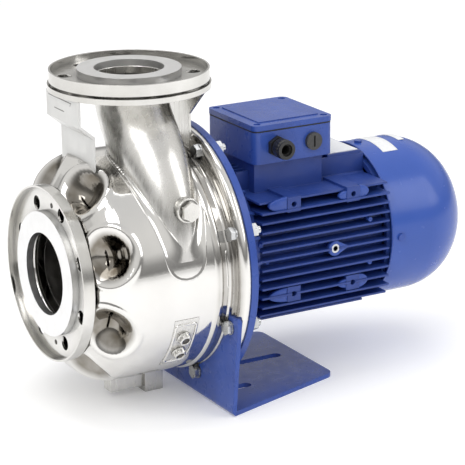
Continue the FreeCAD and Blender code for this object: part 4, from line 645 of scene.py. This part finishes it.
@dataclass
class Casing:
    """The polished drum: a profile turned about the shaft, with eight pockets pressed into its shoulder."""

    wall: float = 2.5
    pockets: int = 8
    pocket_along: float = 36.0
    pocket_pitch: float = 121.0
    pocket_tilt: float = 38.0
    pocket_length: float = 34.0
    pocket_width: float = 36.0
    pocket_depth: float = 25.0
    pocket_reach: float = 30.0
    rim_height: float = 1.3
    rim_place: float = 1.06
    rim_spread: float = 0.07
    # Range of each pocket's depth share over which the painted dark reflection grows to full.
    reflection_fade: tuple[float, float] = (0.08, 0.42)
    columns: int = 640
    fine: tuple[float, float, float] = (20.0, 72.0, 1.3)
    coarse: tuple[float, float, float] = (76.0, 162.0, 6.0)
    profile: tuple[tuple[float, float, float], ...] = (
        (9.0, 55.0, 0), (18.0, 55.0, 3.0), (18.5, 104.0, 5.0), (34.0, 130.0, 12.0), (52.0, 142.8, 10.0),
        (80.0, 145.0, 14.0), (163.6, 145.0, 1.6), (166.2, 147.6, 1.4), (171.0, 147.6, 1.4), (172.6, 146.2, 1.0),
        (181.0, 146.2, 1.0), (182.6, 147.8, 0.8), (188.6, 147.8, 1.4), (190.3, 152.5, 2.0), (190.3, 163.0, 2.5),
        (193.5, 167.9, 1.5), (200.6, 167.9, 0),
    )
    # Painted dark reflection along the rear band: (along, amount) rows.
    band: tuple[tuple[float, float], ...] = (
        (165.0, 0.0), (167.0, 0.35), (171.0, 0.1), (173.0, 0.55), (181.0, 0.45), (183.0, 0.1), (188.0, 0.25),
        (190.3, 0.6), (192.0, 0.3), (194.0, 0.0),
    )

    def outline(self) -> Array:
        """The profile, rounded and filled in with points where the pockets are."""
        line = rounded(self.profile, 6)
        steps = np.linalg.norm(np.diff(line, axis=0), axis=1)
        reach = np.concatenate([[0], np.cumsum(steps)])
        added = [np.interp(np.arange(*stretch), line[:, 0], reach) for stretch in (self.fine, self.coarse)]
        where = np.unique(np.round(np.concatenate([reach, *added]), 4))
        return np.stack([np.interp(where, reach, line[:, i]) for i in (0, 1)], axis=1)

    def press(self, points: Array) -> tuple[Array, Array]:
        """Presses the pockets: points sink along each pocket's own axis, by (1 - t^2)^1.5 of its depth.

        Here t is a point's distance from the axis over the pocket's radius. A low rim stands round the
        pocket, and what lies deeper below the pocket's middle than pocket_reach stays where it is.

        Args:
            points: the drum's points.

        Returns:
            The moved points, and how much painted dark reflection each takes, from 0 to 1.
        """
        moved, painted_reflection = points.copy(), np.zeros(points.shape[:2])
        tilt = math.radians(self.pocket_tilt)
        for i in range(self.pockets):
            angle = 2 * math.pi * (i + 0.5) / self.pockets
            radial = np.array([0.0, -math.cos(angle), math.sin(angle)])
            round_shaft = np.array([0.0, math.sin(angle), math.cos(angle)])
            axis = radial * math.cos(tilt) - np.array([math.sin(tilt), 0, 0])
            length = radial * math.sin(tilt) + np.array([math.cos(tilt), 0, 0])
            way = points - radial * self.pocket_pitch - np.array([self.pocket_along, 0, 0])
            out, lengthwise, sideways = way @ axis, way @ length, way @ round_shaft
            spread = np.hypot(lengthwise / self.pocket_length, sideways / self.pocket_width)
            near = out > -self.pocket_reach
            share = np.where(near, np.clip(1.0 - spread ** 2, 0.0, 1.0), 0.0)
            rim = np.exp(-((spread - self.rim_place) / self.rim_spread) ** 2) * np.where(near, self.rim_height, 0.0)
            moved -= axis * (self.pocket_depth * share ** 1.5 - rim)[..., None]
            # Painted dark reflection, strongest in each pocket's middle.
            painted_reflection = np.maximum(painted_reflection, np.interp(share, self.reflection_fade, (0.0, 1.0)))
        return moved, painted_reflection

    def build(self) -> bpy.types.Object:
        """Makes the drum, with its wall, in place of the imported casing."""
        line = self.outline()
        angles = np.linspace(0, 2 * np.pi, self.columns, endpoint=False)
        points = around_shaft(line, angles)
        points, painted_reflection = self.press(points)
        # The rear band takes painted dark reflection too, for contrast.
        band = np.interp(line[:, 0], *zip(*self.band))
        painted_reflection = np.maximum(painted_reflection, band[:, None])
        faces = grid_faces(len(line), self.columns, wrap_columns=True)
        thing = add_mesh("casing_drum", points, faces, Finish.MIRROR)
        layer = thing.data.attributes.new("painted_reflection", "FLOAT", "POINT")
        layer.data.foreach_set("value", painted_reflection.ravel().astype(np.float32))
        add_wall(thing, self.wall)
        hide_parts("pump_casing")
        return thing


# The discharge pipe and its flared foot on the drum


@dataclass
class DischargePipe:
    """A pipe that comes straight down from its flange, then tapers round the drum to a rounded tip."""

    along: float = 125.0
    radius: float = 46.0
    top: float = 241.0
    straight: float = 222.0
    bend: tuple[float, float, float] = (14.0, 190.0, 26.0)
    drum: float = 145.0
    start: float = 75.0
    stop: float = 5.0
    proud: float = 62.0
    fall: float = 1.75
    taper: float = 0.45
    lean: tuple[float, float] = (22.0, 44.0)
    wall: float = 2.5
    sink: float = 1.2
    weld_from: float = 63.0
    lip: tuple[tuple[float, float], ...] = (
        (13.0, 26.0), (17.0, 21.0), (22.0, 16.0), (33.0, 11.0), (45.0, 9.5), (58.0, 7.0), (70.0, 5.0),
    )
    lip_edge: tuple[tuple[float, float], ...] = ((2.2, 148.0), (1.0, 148.0), (0.2, 147.3), (0.0, 146.2), (0.0, 144.2))
    foot_level: float = 146.5
    foot_top: float = 151.5
    weld_level: float = 147.0
    rows: int = 96
    columns: int = 128

    def surface(self) -> Array:
        """The outer surface: circles of changing size, place and lean, with a smooth line through their sizes."""
        share = np.linspace(1.0, self.stop / self.start, 7)
        angle = np.radians(self.start * share)
        radius = self.radius * share ** self.taper
        reach = self.drum + self.proud * share ** self.fall - radius
        lean = self.lean[0] + (self.lean[1] - self.lean[0]) * share
        rings = [(0.0, self.top, self.radius, 0.0), (0.0, (self.top + self.straight) / 2, self.radius, 0.0),
                 (0.0, self.straight, self.radius, 0.0), (self.bend[0], self.bend[1], self.radius, self.bend[2])]
        rings += list(zip(reach * np.cos(angle), reach * np.sin(angle), radius, lean))
        line = smooth_line(rings, self.rows)
        turn = np.linspace(0, 2 * np.pi, self.columns, endpoint=False)[None, :]
        aside, height, size, tip = (line[:, i][:, None] for i in range(4))
        tip = np.radians(tip)
        return np.stack([
            self.along + size * np.cos(turn), -aside + size * np.sin(turn) * np.cos(tip),
            height - size * np.sin(turn) * np.sin(tip),
        ], axis=-1)

    def footprint(self, level: float, count: int) -> Array:
        """Where the pipe passes down through a radius about the shaft.

        Args:
            level: the radius.
            count: points on the result.

        Returns:
            (along, angle) rows of the closed line, evenly stepped.
        """
        grid = self.surface()
        radius = np.hypot(grid[..., 1], grid[..., 2])
        below = radius < level
        row = np.where(below.any(axis=0), below.argmax(axis=0), len(grid) - 1)
        column = np.arange(grid.shape[1])
        high, low = radius[row - 1, column], radius[row, column]
        share = np.clip((high - level) / np.maximum(high - low, 1e-6), 0, 1)[:, None]
        point = grid[row - 1, column] * (1 - share) + grid[row, column] * share
        flat = np.stack([point[:, 0], self.drum * np.arctan2(point[:, 2], -point[:, 1])], axis=1)
        flat = even_loop(flat, count)
        return np.stack([flat[:, 0], flat[:, 1] / self.drum], axis=1)

    def build(self) -> None:
        """Makes the pipe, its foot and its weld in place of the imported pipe."""
        grid = self.surface()
        radius = np.hypot(grid[..., 1], grid[..., 2])
        hidden = self.drum - self.sink
        shrink = np.where(radius < hidden, hidden / radius, 1.0)
        grid[..., 1] *= shrink
        grid[..., 2] *= shrink
        faces = grid_faces(self.rows, self.columns, wrap_columns=True).tolist()
        faces.append([(self.rows - 1) * self.columns + i for i in range(self.columns)])
        pipe = face_outward(add_mesh("discharge_pipe_skin", grid, faces, Finish.SATIN))
        add_wall(pipe, self.wall)
        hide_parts("discharge_pipe", "discharge_neck")
        self.build_foot()
        self.build_weld()

    def build_foot(self) -> None:
        """The flared foot: from the pipe's side in a hollow curve down to a lip of sheet that lies on the drum."""
        count = 260
        foot = calm_loop(self.footprint(self.foot_level, count), 4)
        upper = calm_loop(self.footprint(self.foot_top, count), 4)
        flat = np.stack([foot[:, 0], foot[:, 1] * self.drum], axis=1)
        along = np.roll(flat, -1, axis=0) - np.roll(flat, 1, axis=0)
        normal = np.stack([along[:, 1], -along[:, 0]], axis=1)
        normal /= np.linalg.norm(normal, axis=1)[:, None]
        if (normal * (flat - flat.mean(axis=0))).sum() < 0:
            normal = -normal
        width = calm_loop(np.interp(np.degrees(foot[:, 1]), *zip(*self.lip)), 12)
        nearest = np.linalg.norm(
            np.stack([upper[:, 0], upper[:, 1] * self.drum], axis=1)[None] - flat[:, None], axis=2,
        ).argmin(axis=1)
        start = calm_loop(upper[nearest], 6)

        def ring(offset: Array, radius: float) -> Array:
            """A line offset outward from the pipe's footprint."""
            moved = calm_loop(flat + normal * offset[:, None], 3)
            return on_drum(moved[:, 0], moved[:, 1] / self.drum, radius)

        first = on_drum(start[:, 0], start[:, 1], self.foot_top)
        middle = ring(width * 0.08, 147.0)
        last = ring(width - 3.5, 147.6)
        lines = []
        for share in np.linspace(0, 1, 8):
            lines.append((1 - share) ** 2 * first + 2 * share * (1 - share) * middle + share ** 2 * last)
        lines += [ring(width - inset, radius) for inset, radius in self.lip_edge]
        lines.append(ring(width * 0.0 - 3.0, self.lip_edge[-1][1]))
        grid = np.stack(lines, axis=1)
        faces = grid_faces(count, len(lines), wrap_rows=True, wrap_columns=True)
        face_outward(add_mesh("pipe_foot", grid, faces, Finish.MIRROR))
        # A near-black bead round the lip's edge is a painted shadow line where the lip meets the drum.
        seam = ring(width + 0.7, 145.0)
        section = half_round(1.9, 0.5, 1.0, 5)
        add_bead("pipe_foot_shadow_line", seam, off_shaft(seam), section, Finish.PAINTED_SHADE, True)

    def build_weld(self) -> None:
        """The weld round the pipe's upper root: a bead whose width ripples along the seam."""
        foot = calm_loop(self.footprint(self.weld_level, 520), 3)
        keep = np.degrees(foot[:, 1]) > self.weld_from
        first = int(np.argmax(~np.roll(keep, 1) & keep))
        order = (np.arange(len(foot)) + first) % len(foot)
        foot = foot[order][keep[order]]
        path = on_drum(foot[:, 0], foot[:, 1], self.weld_level)
        grid = sweep(path, off_shaft(path), half_round(6.0, 2.6, 2.0), False)
        ripple = 1.0 + 0.16 * np.sin(np.arange(len(path)) * 1.25) + 0.10 * np.sin(np.arange(len(path)) * 0.37)
        grid = path[:, None, :] + (grid - path[:, None, :]) * ripple[:, None, None]
        face_outward(add_mesh("pipe_weld", grid, tube_faces(*grid.shape[:2]), Finish.SATIN))


# Stampings, plugs and holes of the casing


def cap(
    name: str, place: Array, out: Array, rings: Sequence[tuple[float, float, float]], finish: Finish,
    sides: int = 96,
) -> bpy.types.Object:
    """A closed turned or hexagonal knob on an axis, from rings between its foot and its top.

    Args:
        name: the piece's name.
        place: the middle of its foot.
        out: the unit axis.
        rings: (radius, height, share) of each ring; at share 1 it is a hexagon with that inscribed radius.
        finish: its finish.
        sides: points on each ring.

    Returns:
        The new object.
    """
    turn = np.linspace(0, 2 * np.pi, sides, endpoint=False)
    flat = 1.0 / np.cos((turn + np.pi / 6) % (np.pi / 3) - np.pi / 6)
    first = np.cross(out, [1.0, 0.0, 0.0] if abs(out[0]) < 0.9 else [0.0, 0.0, 1.0])
    first /= np.linalg.norm(first)
    second = np.cross(out, first)
    radius, height, share = (np.array(rings)[:, i][:, None] for i in range(3))
    reach = radius * (1 + (flat[None, :] - 1) * share)
    grid = (
        np.asarray(place, float) + height[..., None] * out
        + (reach * np.cos(turn))[..., None] * first + (reach * np.sin(turn))[..., None] * second
    )
    return face_outward(add_mesh(name, grid, tube_faces(len(rings), sides), finish))


def box_loop(half_long: float, half_high: float, corner: float, count: int = 160) -> Array:
    """A closed rectangle with rounded corners about the origin, evenly stepped."""
    turn = np.linspace(0, 2 * np.pi, 721)[:-1]
    way = np.stack([np.cos(turn), np.sin(turn)], axis=1)
    return even_loop(np.sign(way) * (half_long - corner, half_high - corner) + corner * way, count)


@dataclass
class CasingDetails:
    """Stamped loops beside the casing bolts, the drain pad's raised edge, plug heads, and near-black painted shade
    along the seam, the grooves, the plug sockets and in the small holes.
    """

    loops: tuple[float, ...] = (6.5, 173.5)
    loop_along: float = 184.0
    drain: tuple[float, float, float, float] = (125.0, -32.2, 14.5, 35.0)
    drain_plugs: tuple[float, ...] = (-37.4, -27.0)
    plug_foot: float = 147.8
    plug_rings: tuple[tuple[float, float, float], ...] = (
        (9.6, 0.0, 0.0), (9.4, 1.2, 0.0), (8.0, 1.9, 0.3), (7.4, 2.2, 1.0), (7.3, 6.6, 1.0), (6.9, 7.3, 0.6),
        (6.2, 7.6, 0.2), (5.2, 7.6, 0.0), (5.0, 7.2, 0.0), (4.9, 6.0, 0.0),
    )
    seam: tuple[tuple[float, float], ...] = ((66.0, 50.6), (62.0, 44.0), (58.0, 38.0), (54.5, 33.5))
    seam_radius: tuple[tuple[float, float], ...] = ((50.0, 140.6), (60.0, 144.7), (66.0, 145.1))
    small_holes: tuple[float, ...] = (84.6, -84.6)
    hole_pitch: float = 90.0
    flange_back: float = 9.2
    bracket_face: float = 32.0
    grooves: tuple[tuple[tuple[float, float], ...], ...] = (
        ((38.7, 219.4), (7.0, 219.4), (-24.2, 219.4), (-21.2, 215.7)), ((23.2, 205.5), (10.0, 205.5), (-3.8, 205.5)),
    )
    boss: tuple[float, float, float] = (130.0, -140.2, 98.0)
    boss_rings: tuple[tuple[float, float, float], ...] = (
        (15.8, -5.0, 0.0), (15.6, 0.0, 0.0), (15.0, 0.9, 0.0), (13.4, 1.1, 0.0), (12.6, 0.6, 0.0), (12.4, -1.0, 0.0),
    )

    def bead_on_drum(
        self, name: str, middle: tuple[float, float], loop: Array, radius: float, size: tuple[float, float],
        finish: Finish,
    ) -> None:
        """A raised bead of a width and height along a closed line laid on a cylinder about the shaft."""
        angle = math.radians(middle[1]) + loop[:, 1] / radius
        path = on_drum(middle[0] + loop[:, 0], angle, radius)
        add_bead(name, path, on_drum(0.0, angle, 1.0), half_round(*size, 1.5), finish, True)

    def build(self) -> None:
        """Makes the casing's details."""
        for number, angle in enumerate(self.loops):
            loop = box_loop(5.2, 24.0, 5.0)
            self.bead_on_drum(
                f"stamped_loop_{number}", (self.loop_along, angle), loop, 147.4, (3.0, 1.9), Finish.MIRROR,
            )
        self.build_drain()
        self.build_seam()
        for number, angle in enumerate(self.small_holes):
            place = on_drum(self.flange_back, np.radians(angle), self.hole_pitch)
            # Each small hole is a flat dark disc of painted shade.
            rings = ((3.3, 0.0, 0.0), (3.3, 0.4, 0.0))
            cap(f"small_hole_{number}", place, np.array([-1.0, 0, 0]), rings, Finish.PAINTED_SHADE, 48)
        # Each groove is a thin dark bead of painted shade.
        section = half_round(1.0, 0.25, 0.5, 5)
        for number, spots in enumerate(self.grooves):
            path = np.array([(self.bracket_face, aside, high) for aside, high in spots])
            normals = np.tile([-1.0, 0.0, 0.0], (len(path), 1))
            add_bead(f"bracket_groove_{number}", path, normals, section, Finish.PAINTED_SHADE)
        out = np.array([0.0, -1.0, 0.0])
        cap("filling_boss_rim", np.array(self.boss), out, self.boss_rings, Finish.SATIN)

    def build_drain(self) -> None:
        """The drain pad's raised edge with a painted shadow line round it, and the head of each drain plug with a
        dark disc of painted shade for its socket.
        """
        along, angle, half_long, half_high = self.drain
        edge = box_loop(half_long, half_high, 5.0)
        # A painted shadow line round the pad, where it meets the drum.
        seam = box_loop(half_long + 3.0, half_high + 3.0, 6.0)
        self.bead_on_drum("drain_pad_edge", (along, angle), edge, 147.6, (3.6, 1.8), Finish.MIRROR)
        self.bead_on_drum("drain_pad_shadow_line", (along, angle), seam, 145.0, (1.6, 0.5), Finish.PAINTED_SHADE)
        for number, angle in enumerate(self.drain_plugs):
            out = on_drum(0.0, np.radians(angle), 1.0)
            foot = on_drum(along, np.radians(angle), self.plug_foot)
            # Each plug's socket is a flat dark disc of painted shade.
            socket = ((4.8, 0.0, 0.0), (4.8, 1.6, 0.0))
            cap(f"drain_plug_head_{number}", foot, out, self.plug_rings, Finish.SATIN)
            cap(f"drain_plug_socket_{number}", foot + out * 5.0, out, socket, Finish.PAINTED_SHADE)

    def build_seam(self) -> None:
        """The drum's seam, a fine line down its near side, drawn in near-black steel as a painted shadow line."""
        spots = smooth_line([(x, math.radians(a), 0.0) for x, a in self.seam], 40)
        radius = np.interp(spots[:, 0], *zip(*self.seam_radius))
        path = on_drum(spots[:, 0], spots[:, 1], radius)
        normals = on_drum(0.0, spots[:, 1], 1.0)
        add_bead("drum_seam", path, normals, half_round(0.9, 0.25, 0.6, 5), Finish.PAINTED_SHADE)


# Motor details


def stacked(outlines: Sequence[tuple[Array, float]]) -> Array:
    """A grid of rings: each flat outline of (x, z) stands at its own y."""
    return np.array([
        np.stack([flat[:, 0], np.full(len(flat), aside), flat[:, 1]], axis=1) for flat, aside in outlines
    ])


@dataclass
class MotorDetails:
    """Blank labels, the cover's edge, the gland nut's ribs, the lifting boss and the cast lobes and studs."""

    cover_radius: float = 105.0
    cover_front: float = 453.2
    cover_back: float = 455.4
    labels: tuple[tuple[float, float, float, float], ...] = ((482.0, 505.5, 68.7, 112.0), (521.5, 531.0, 81.5, 110.0))
    gland: tuple[float, float] = (303.0, 136.5)
    gland_radius: float = 12.4
    gland_rib: float = 0.55
    gland_rows: tuple[tuple[float, float], ...] = (
        (-74.0, -1.6), (-75.0, 0.0), (-82.5, 0.0), (-84.0, -1.2), (-84.6, -2.6), (-84.6, -4.4), (-82.0, -4.4),
        (-74.0, -4.4),
    )
    boss: tuple[float, float] = (367.0, 0.0)
    boss_radius: float = 10.2
    boss_bore: float = 6.05
    side: float = 101.7
    lobes: tuple[tuple[float, float, float], ...] = (
        (294.5, 70.5, -27.0), (294.5, -50.5, -27.0), (403.5, 70.5, 15.0), (403.5, -50.5, 15.0),
        (384.5, 68.5, -12.0), (384.5, -51.0, -12.0),
    )
    studs: tuple[tuple[float, float, float, float], ...] = (
        (420.5, 31.0, 3.0, 0.0), (420.5, -27.5, 3.0, 0.0), (257.5, 20.5, 3.4, 5.0), (267.0, -2.5, 3.6, 5.0),
    )

    def build(self) -> None:
        """Makes the motor's details."""
        for number, place in enumerate(self.labels):
            self.build_label(f"cover_label_{number}", *place)
        self.build_cover_edge()
        self.build_gland_ribs()
        self.build_boss()
        for number, place in enumerate(self.lobes):
            self.build_lobe(f"cast_lobe_{number}", *place)
        for number, place in enumerate(self.studs):
            self.build_stud(f"cast_stud_{number}", *place)

    def build_label(self, name: str, front: float, back: float, low: float, high: float) -> None:
        """A blank label that lies on the fan cover: a patch of a cylinder a third of a millimetre thick."""
        angle = np.radians(np.linspace(low, high, 48))
        along = np.linspace(front, back, 12)
        outer = on_drum(along[:, None], angle[None, :], self.cover_radius + 0.38)
        inner = on_drum(along[:, None], angle[None, :], self.cover_radius + 0.03)
        rows, columns = outer.shape[:2]
        top = grid_faces(rows, columns)
        count = rows * columns
        edge = np.concatenate([
            np.arange(columns), np.arange(1, rows) * columns + columns - 1,
            (rows - 1) * columns + np.arange(columns - 2, -1, -1), np.arange(rows - 2, 0, -1) * columns,
        ])
        after = np.roll(edge, -1)
        sides = np.stack([edge, after, after + count, edge + count], axis=1)
        faces = np.concatenate([top, top[:, ::-1] + count, sides])
        points = np.concatenate([outer.reshape(-1, 3), inner.reshape(-1, 3)])
        face_outward(add_mesh(name, points, faces, Finish.LABEL))

    def build_cover_edge(self) -> None:
        """The fan cover's rolled front edge, a low ring."""
        radius, front, back = self.cover_radius, self.cover_front, self.cover_back
        revolve("cover_edge", np.array([
            (front, radius - 1.9), (front, radius + 0.4), (front + 0.5, radius + 0.7), (back - 0.4, radius + 0.7),
            (back, radius - 0.2), (back, radius - 1.9),
        ]), Finish.PAINT)

    def build_gland_ribs(self) -> None:
        """The gland nut's ribbed sleeve: its radius swells by the size of a sine, eighteen times round."""
        along, height = self.gland
        turn = np.linspace(0, 2 * np.pi, 241)[:-1]
        ribs = self.gland_radius + self.gland_rib * np.abs(np.sin(turn * 9))
        grid = stacked([(np.stack([
            along + (ribs + step) * np.cos(turn), height + (ribs + step) * np.sin(turn),
        ], axis=1), aside) for aside, step in self.gland_rows])
        faces = grid_faces(len(self.gland_rows), len(turn), True, True)
        face_outward(add_mesh("gland_nut_ribs", grid, faces, Finish.PLASTIC))

    def build_boss(self) -> None:
        """The lifting boss's face: a plate with a round part, a narrow tip and a round hole, ring within ring."""
        along, height = self.boss
        turn = np.linspace(np.radians(48), np.radians(312), 60)
        round_part = np.stack([
            along + self.boss_radius * np.cos(turn), height + self.boss_radius * np.sin(turn),
        ], axis=1)
        tip = np.array([[along + 20.0, height - 0.8], [along + 20.6, height], [along + 20.0, height + 0.8]])
        outline = even_loop(np.vstack([round_part, tip]), 120)
        spot = np.array(self.boss)
        way = outline - spot
        way /= np.linalg.norm(way, axis=1)[:, None]
        hole = spot + way * self.boss_bore
        near, deep = -self.side - 0.35, -self.side + 9.0
        lines = [
            (hole, deep), (hole, near + 0.3), (spot + way * (self.boss_bore + 0.5), near),
            (spot + (outline - spot) * 0.94, near), (outline, near + 0.7), (outline, deep),
        ]
        faces = grid_faces(len(lines), len(outline), True, True)
        face_outward(add_mesh("lifting_boss_face", stacked(lines), faces, Finish.PAINT))

    def build_lobe(self, name: str, root: float, level: float, reach: float) -> None:
        """A cast lobe with a flat root, whose half width falls as (1 - t^1.6)^0.5 along its reach."""
        share = np.linspace(0, 1, 30)
        half = (9.6 if abs(reach) > 13 else 6.0) * np.sqrt(1 - share ** 1.6)
        upper = np.stack([root + reach * share, level + half], axis=1)
        lower = np.stack([root + reach * share[-2::-1], level - half[-2::-1]], axis=1)
        outline = even_loop(np.vstack([upper, lower]), 90)
        top = -self.side + 0.6
        middle = outline.mean(axis=0)
        distance = np.maximum(np.linalg.norm(outline - middle, axis=1)[:, None], 2.0)
        grid = stacked([
            (middle + (outline - middle) * (1 - inset / distance), top + depth)
            for depth, inset in ((5.4, 0.0), (1.0, 0.0), (0.3, 0.5), (0.0, 1.2))
        ])
        face_outward(add_mesh(name, grid, tube_faces(len(grid), len(outline)), Finish.PAINT))

    def build_stud(self, name: str, place: float, level: float, size: float, sink: float) -> None:
        """A small cast stud with a dimple in its end."""
        foot = np.array([place, -self.side + sink + 14.0, level])
        rings = (
            (size, 0.0, 0.0), (size, 14.3, 0.0), (size - 0.6, 14.9, 0.0), (size * 0.55, 14.9, 0.0),
            (size * 0.45, 14.0, 0.0),
        )
        cap(name, foot, np.array([0.0, -1.0, 0.0]), rings, Finish.PAINT, 48)


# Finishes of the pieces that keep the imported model's own shape


CAD_FINISH: dict[Finish, tuple[str, ...]] = {
    Finish.MIRROR: ("pump_casing",),
    Finish.RIM: ("suction_flange", "discharge_flange", "discharge_backing_ring"),
    Finish.FACED: ("suction_face_ring", "discharge_face_ring"),
    Finish.SATIN: (
        "discharge_neck", "discharge_pipe", "filling_boss", "filling_plug", "drain_plugs", "drain_pad", "casing_lug",
        "rear_gusset", "seal_housing", "impeller", "impeller_nut", "impeller_washer", "impeller_key", "seal_collar",
        "seal_bellows",
    ),
    Finish.SHEET: ("front_bracket",),
    Finish.BORE: ("suction_diaphragm", "wear_ring"),
    Finish.ZINC: ("casing_bolts", "casing_nuts_and_washers", "lifting_inserts", "wave_spring", "fan_clamp"),
    Finish.GROUND: (
        "shaft", "front_bearing_inner_ring", "front_bearing_outer_ring", "front_bearing_balls",
        "rear_bearing_inner_ring", "rear_bearing_outer_ring", "rear_bearing_balls",
    ),
    Finish.CORE: ("stator_core", "rotor_core"),
    Finish.COPPER: ("stator_windings",),
    Finish.PAINT: ("adapter_disc", "foot_plate", "terminal_box", "terminal_box_lid", "lid_and_cover_screws"),
    Finish.DEEP_PAINT: ("drive_end_shield", "motor_frame", "rear_end_shield"),
    Finish.SHELL_PAINT: ("fan_cover",),
    Finish.PLASTIC: ("cable_gland_body", "cable_gland_nut", "terminal_board", "cooling_fan"),
    Finish.GREY_PLASTIC: ("blanking_plug",),
    Finish.RUBBER: ("casing_oring", "box_gasket", "cable_gland_seal", "shaft_deflector"),
    Finish.CARBON: ("seal_rotating_face",),
    Finish.CERAMIC: ("seal_seat",),
    Finish.LABEL: ("nameplate",),
}


def dress_nodes(nodes: dict[str, bpy.types.Object]) -> None:
    """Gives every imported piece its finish.

    Args:
        nodes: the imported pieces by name.
    """
    for finish, names in CAD_FINISH.items():
        for name in names:
            PAINTBOX.dress(nodes[name], finish)
            LOG.info("dressed %s with %s", name, finish.value.name)


# Studio


@dataclass(frozen=True)
class StudioCamera:
    """The camera that took the picture: square frame, long lens, turned and tilted in degrees."""

    place: tuple[float, float, float] = (-1.0749, -2.3275, 0.8486)
    turn: float = -30.06
    tilt: float = 17.32
    roll: float = -0.39
    lens: float = 166.65
    sensor: float = 36.0

    def build(self) -> None:
        """Makes the camera and sets it as the scene's."""
        turn, tilt, roll = (math.radians(a) for a in (self.turn, self.tilt, self.roll))
        back = Vector((math.sin(turn) * math.cos(tilt), -math.cos(turn) * math.cos(tilt), math.sin(tilt)))
        level = Vector((math.cos(turn), math.sin(turn), 0))
        high = back.cross(level)
        right = level * math.cos(roll) + high * math.sin(roll)
        up = high * math.cos(roll) - level * math.sin(roll)
        data = bpy.data.cameras.new("studio_camera")
        data.lens = self.lens
        data.sensor_width = self.sensor
        data.sensor_fit = "HORIZONTAL"
        data.clip_start = 0.05
        thing = bpy.data.objects.new("studio_camera", data)
        thing.matrix_world = Matrix.Translation(self.place) @ Matrix((right, up, back)).transposed().to_4x4()
        bpy.context.scene.collection.objects.link(thing)
        bpy.context.scene.camera = thing


@dataclass(frozen=True)
class Lamp:
    """One soft area light that looks at the pump."""

    name: str
    place: tuple[float, float, float]
    size: tuple[float, float]
    power: float
    target: tuple[float, float, float] = (0.25, 0.0, 0.0)

    def build(self) -> None:
        """Makes the light."""
        data = bpy.data.lights.new(self.name, "AREA")
        data.shape = "RECTANGLE"
        data.size, data.size_y = self.size
        data.energy = self.power
        thing = bpy.data.objects.new(self.name, data)
        thing.location = self.place
        thing.rotation_euler = (Vector(self.place) - Vector(self.target)).to_track_quat("Z", "Y").to_euler()
        bpy.context.scene.collection.objects.link(thing)


@dataclass
class Studio:
    """Floor, surround, lights and camera."""

    camera: StudioCamera = field(default_factory=StudioCamera)
    floor_level: float = -0.18
    floor_half: float = 14.0
    surround: tuple[tuple[float, float], ...] = ((0.49, 0.60), (0.52, 0.30), (0.58, 0.42), (0.66, 0.95), (0.8, 1.0))
    strength: float = 0.85
    lamps: tuple[Lamp, ...] = (
        Lamp("key_box", (-1.6, -1.2, 2.2), (1.6, 1.6), 26.0),
        Lamp("side_box", (2.2, -1.8, 1.5), (1.2, 1.8), 16.0),
        Lamp("top_box", (0.3, 0.4, 2.6), (2.4, 1.4), 22.0),
    )

    def build(self) -> None:
        """Builds the whole studio."""
        self.camera.build()
        for lamp in self.lamps:
            lamp.build()
        self.lay_floor()
        self.light_surround()
        bpy.context.scene.view_settings.view_transform = "Standard"

    def lay_floor(self) -> None:
        """Lays the pale floor under the pump."""
        half = self.floor_half
        mesh = bpy.data.meshes.new("studio_floor")
        mesh.from_pydata([(-half, -half, self.floor_level), (half, -half, self.floor_level),
                          (half, half, self.floor_level), (-half, half, self.floor_level)], [], [(0, 1, 2, 3)])
        thing = bpy.data.objects.new("studio_floor", mesh)
        bpy.context.scene.collection.objects.link(thing)
        graph = Graph("pale_floor")
        cloud = graph.span(graph.noise(0.6, 2.0), 0.0, 1.0)
        graph.put("Base Color", graph.mix(cloud, (0.93, 0.93, 0.935), (0.95, 0.95, 0.95)))
        graph.put("Roughness", 0.75)
        graph.put("Emission Color", (1.0, 1.0, 1.0))
        graph.put("Emission Strength", 0.16)
        mesh.materials.append(graph.material)

    def light_surround(self) -> None:
        """A bright surround with a few darker panels for the polished steel to mirror."""
        world = bpy.data.worlds.new("studio_surround")
        bpy.context.scene.world = world
        world.use_nodes = True
        nodes, links = world.node_tree.nodes, world.node_tree.links
        way = nodes.new("ShaderNodeTexCoord").outputs["Generated"]
        split = nodes.new("ShaderNodeSeparateXYZ")
        links.new(way, split.inputs[0])
        height = nodes.new("ShaderNodeValToRGB")
        ramp = height.color_ramp
        ramp.elements[0].position, ramp.elements[0].color = 0.0, (0.75, 0.75, 0.75, 1)
        ramp.elements[1].position, ramp.elements[1].color = 1.0, (0.85, 0.85, 0.85, 1)
        for position, value in self.surround:
            mark = ramp.elements.new(position)
            mark.color = (value, value * 0.99, value * 0.97, 1)
        shift = nodes.new("ShaderNodeMath")
        shift.operation = "MULTIPLY_ADD"
        shift.inputs[1].default_value, shift.inputs[2].default_value = 0.5, 0.5
        links.new(split.outputs["Z"], shift.inputs[0])
        links.new(shift.outputs[0], height.inputs["Fac"])
        links.new(height.outputs["Color"], nodes["Background"].inputs["Color"])
        nodes["Background"].inputs["Strength"].default_value = self.strength


def main() -> None:
    """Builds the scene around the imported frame."""
    logging.basicConfig(level=logging.INFO, format="%(message)s")
    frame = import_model()
    dress_nodes(frame["nodes"])
    for assembly in (Casing(), DischargePipe(), CasingDetails(), MotorDetails()):
        assembly.build()
        LOG.info("built %s", type(assembly).__name__)
    Studio().build()
    bpy.context.view_layer.update()


if __name__ == "__main__":
    main()
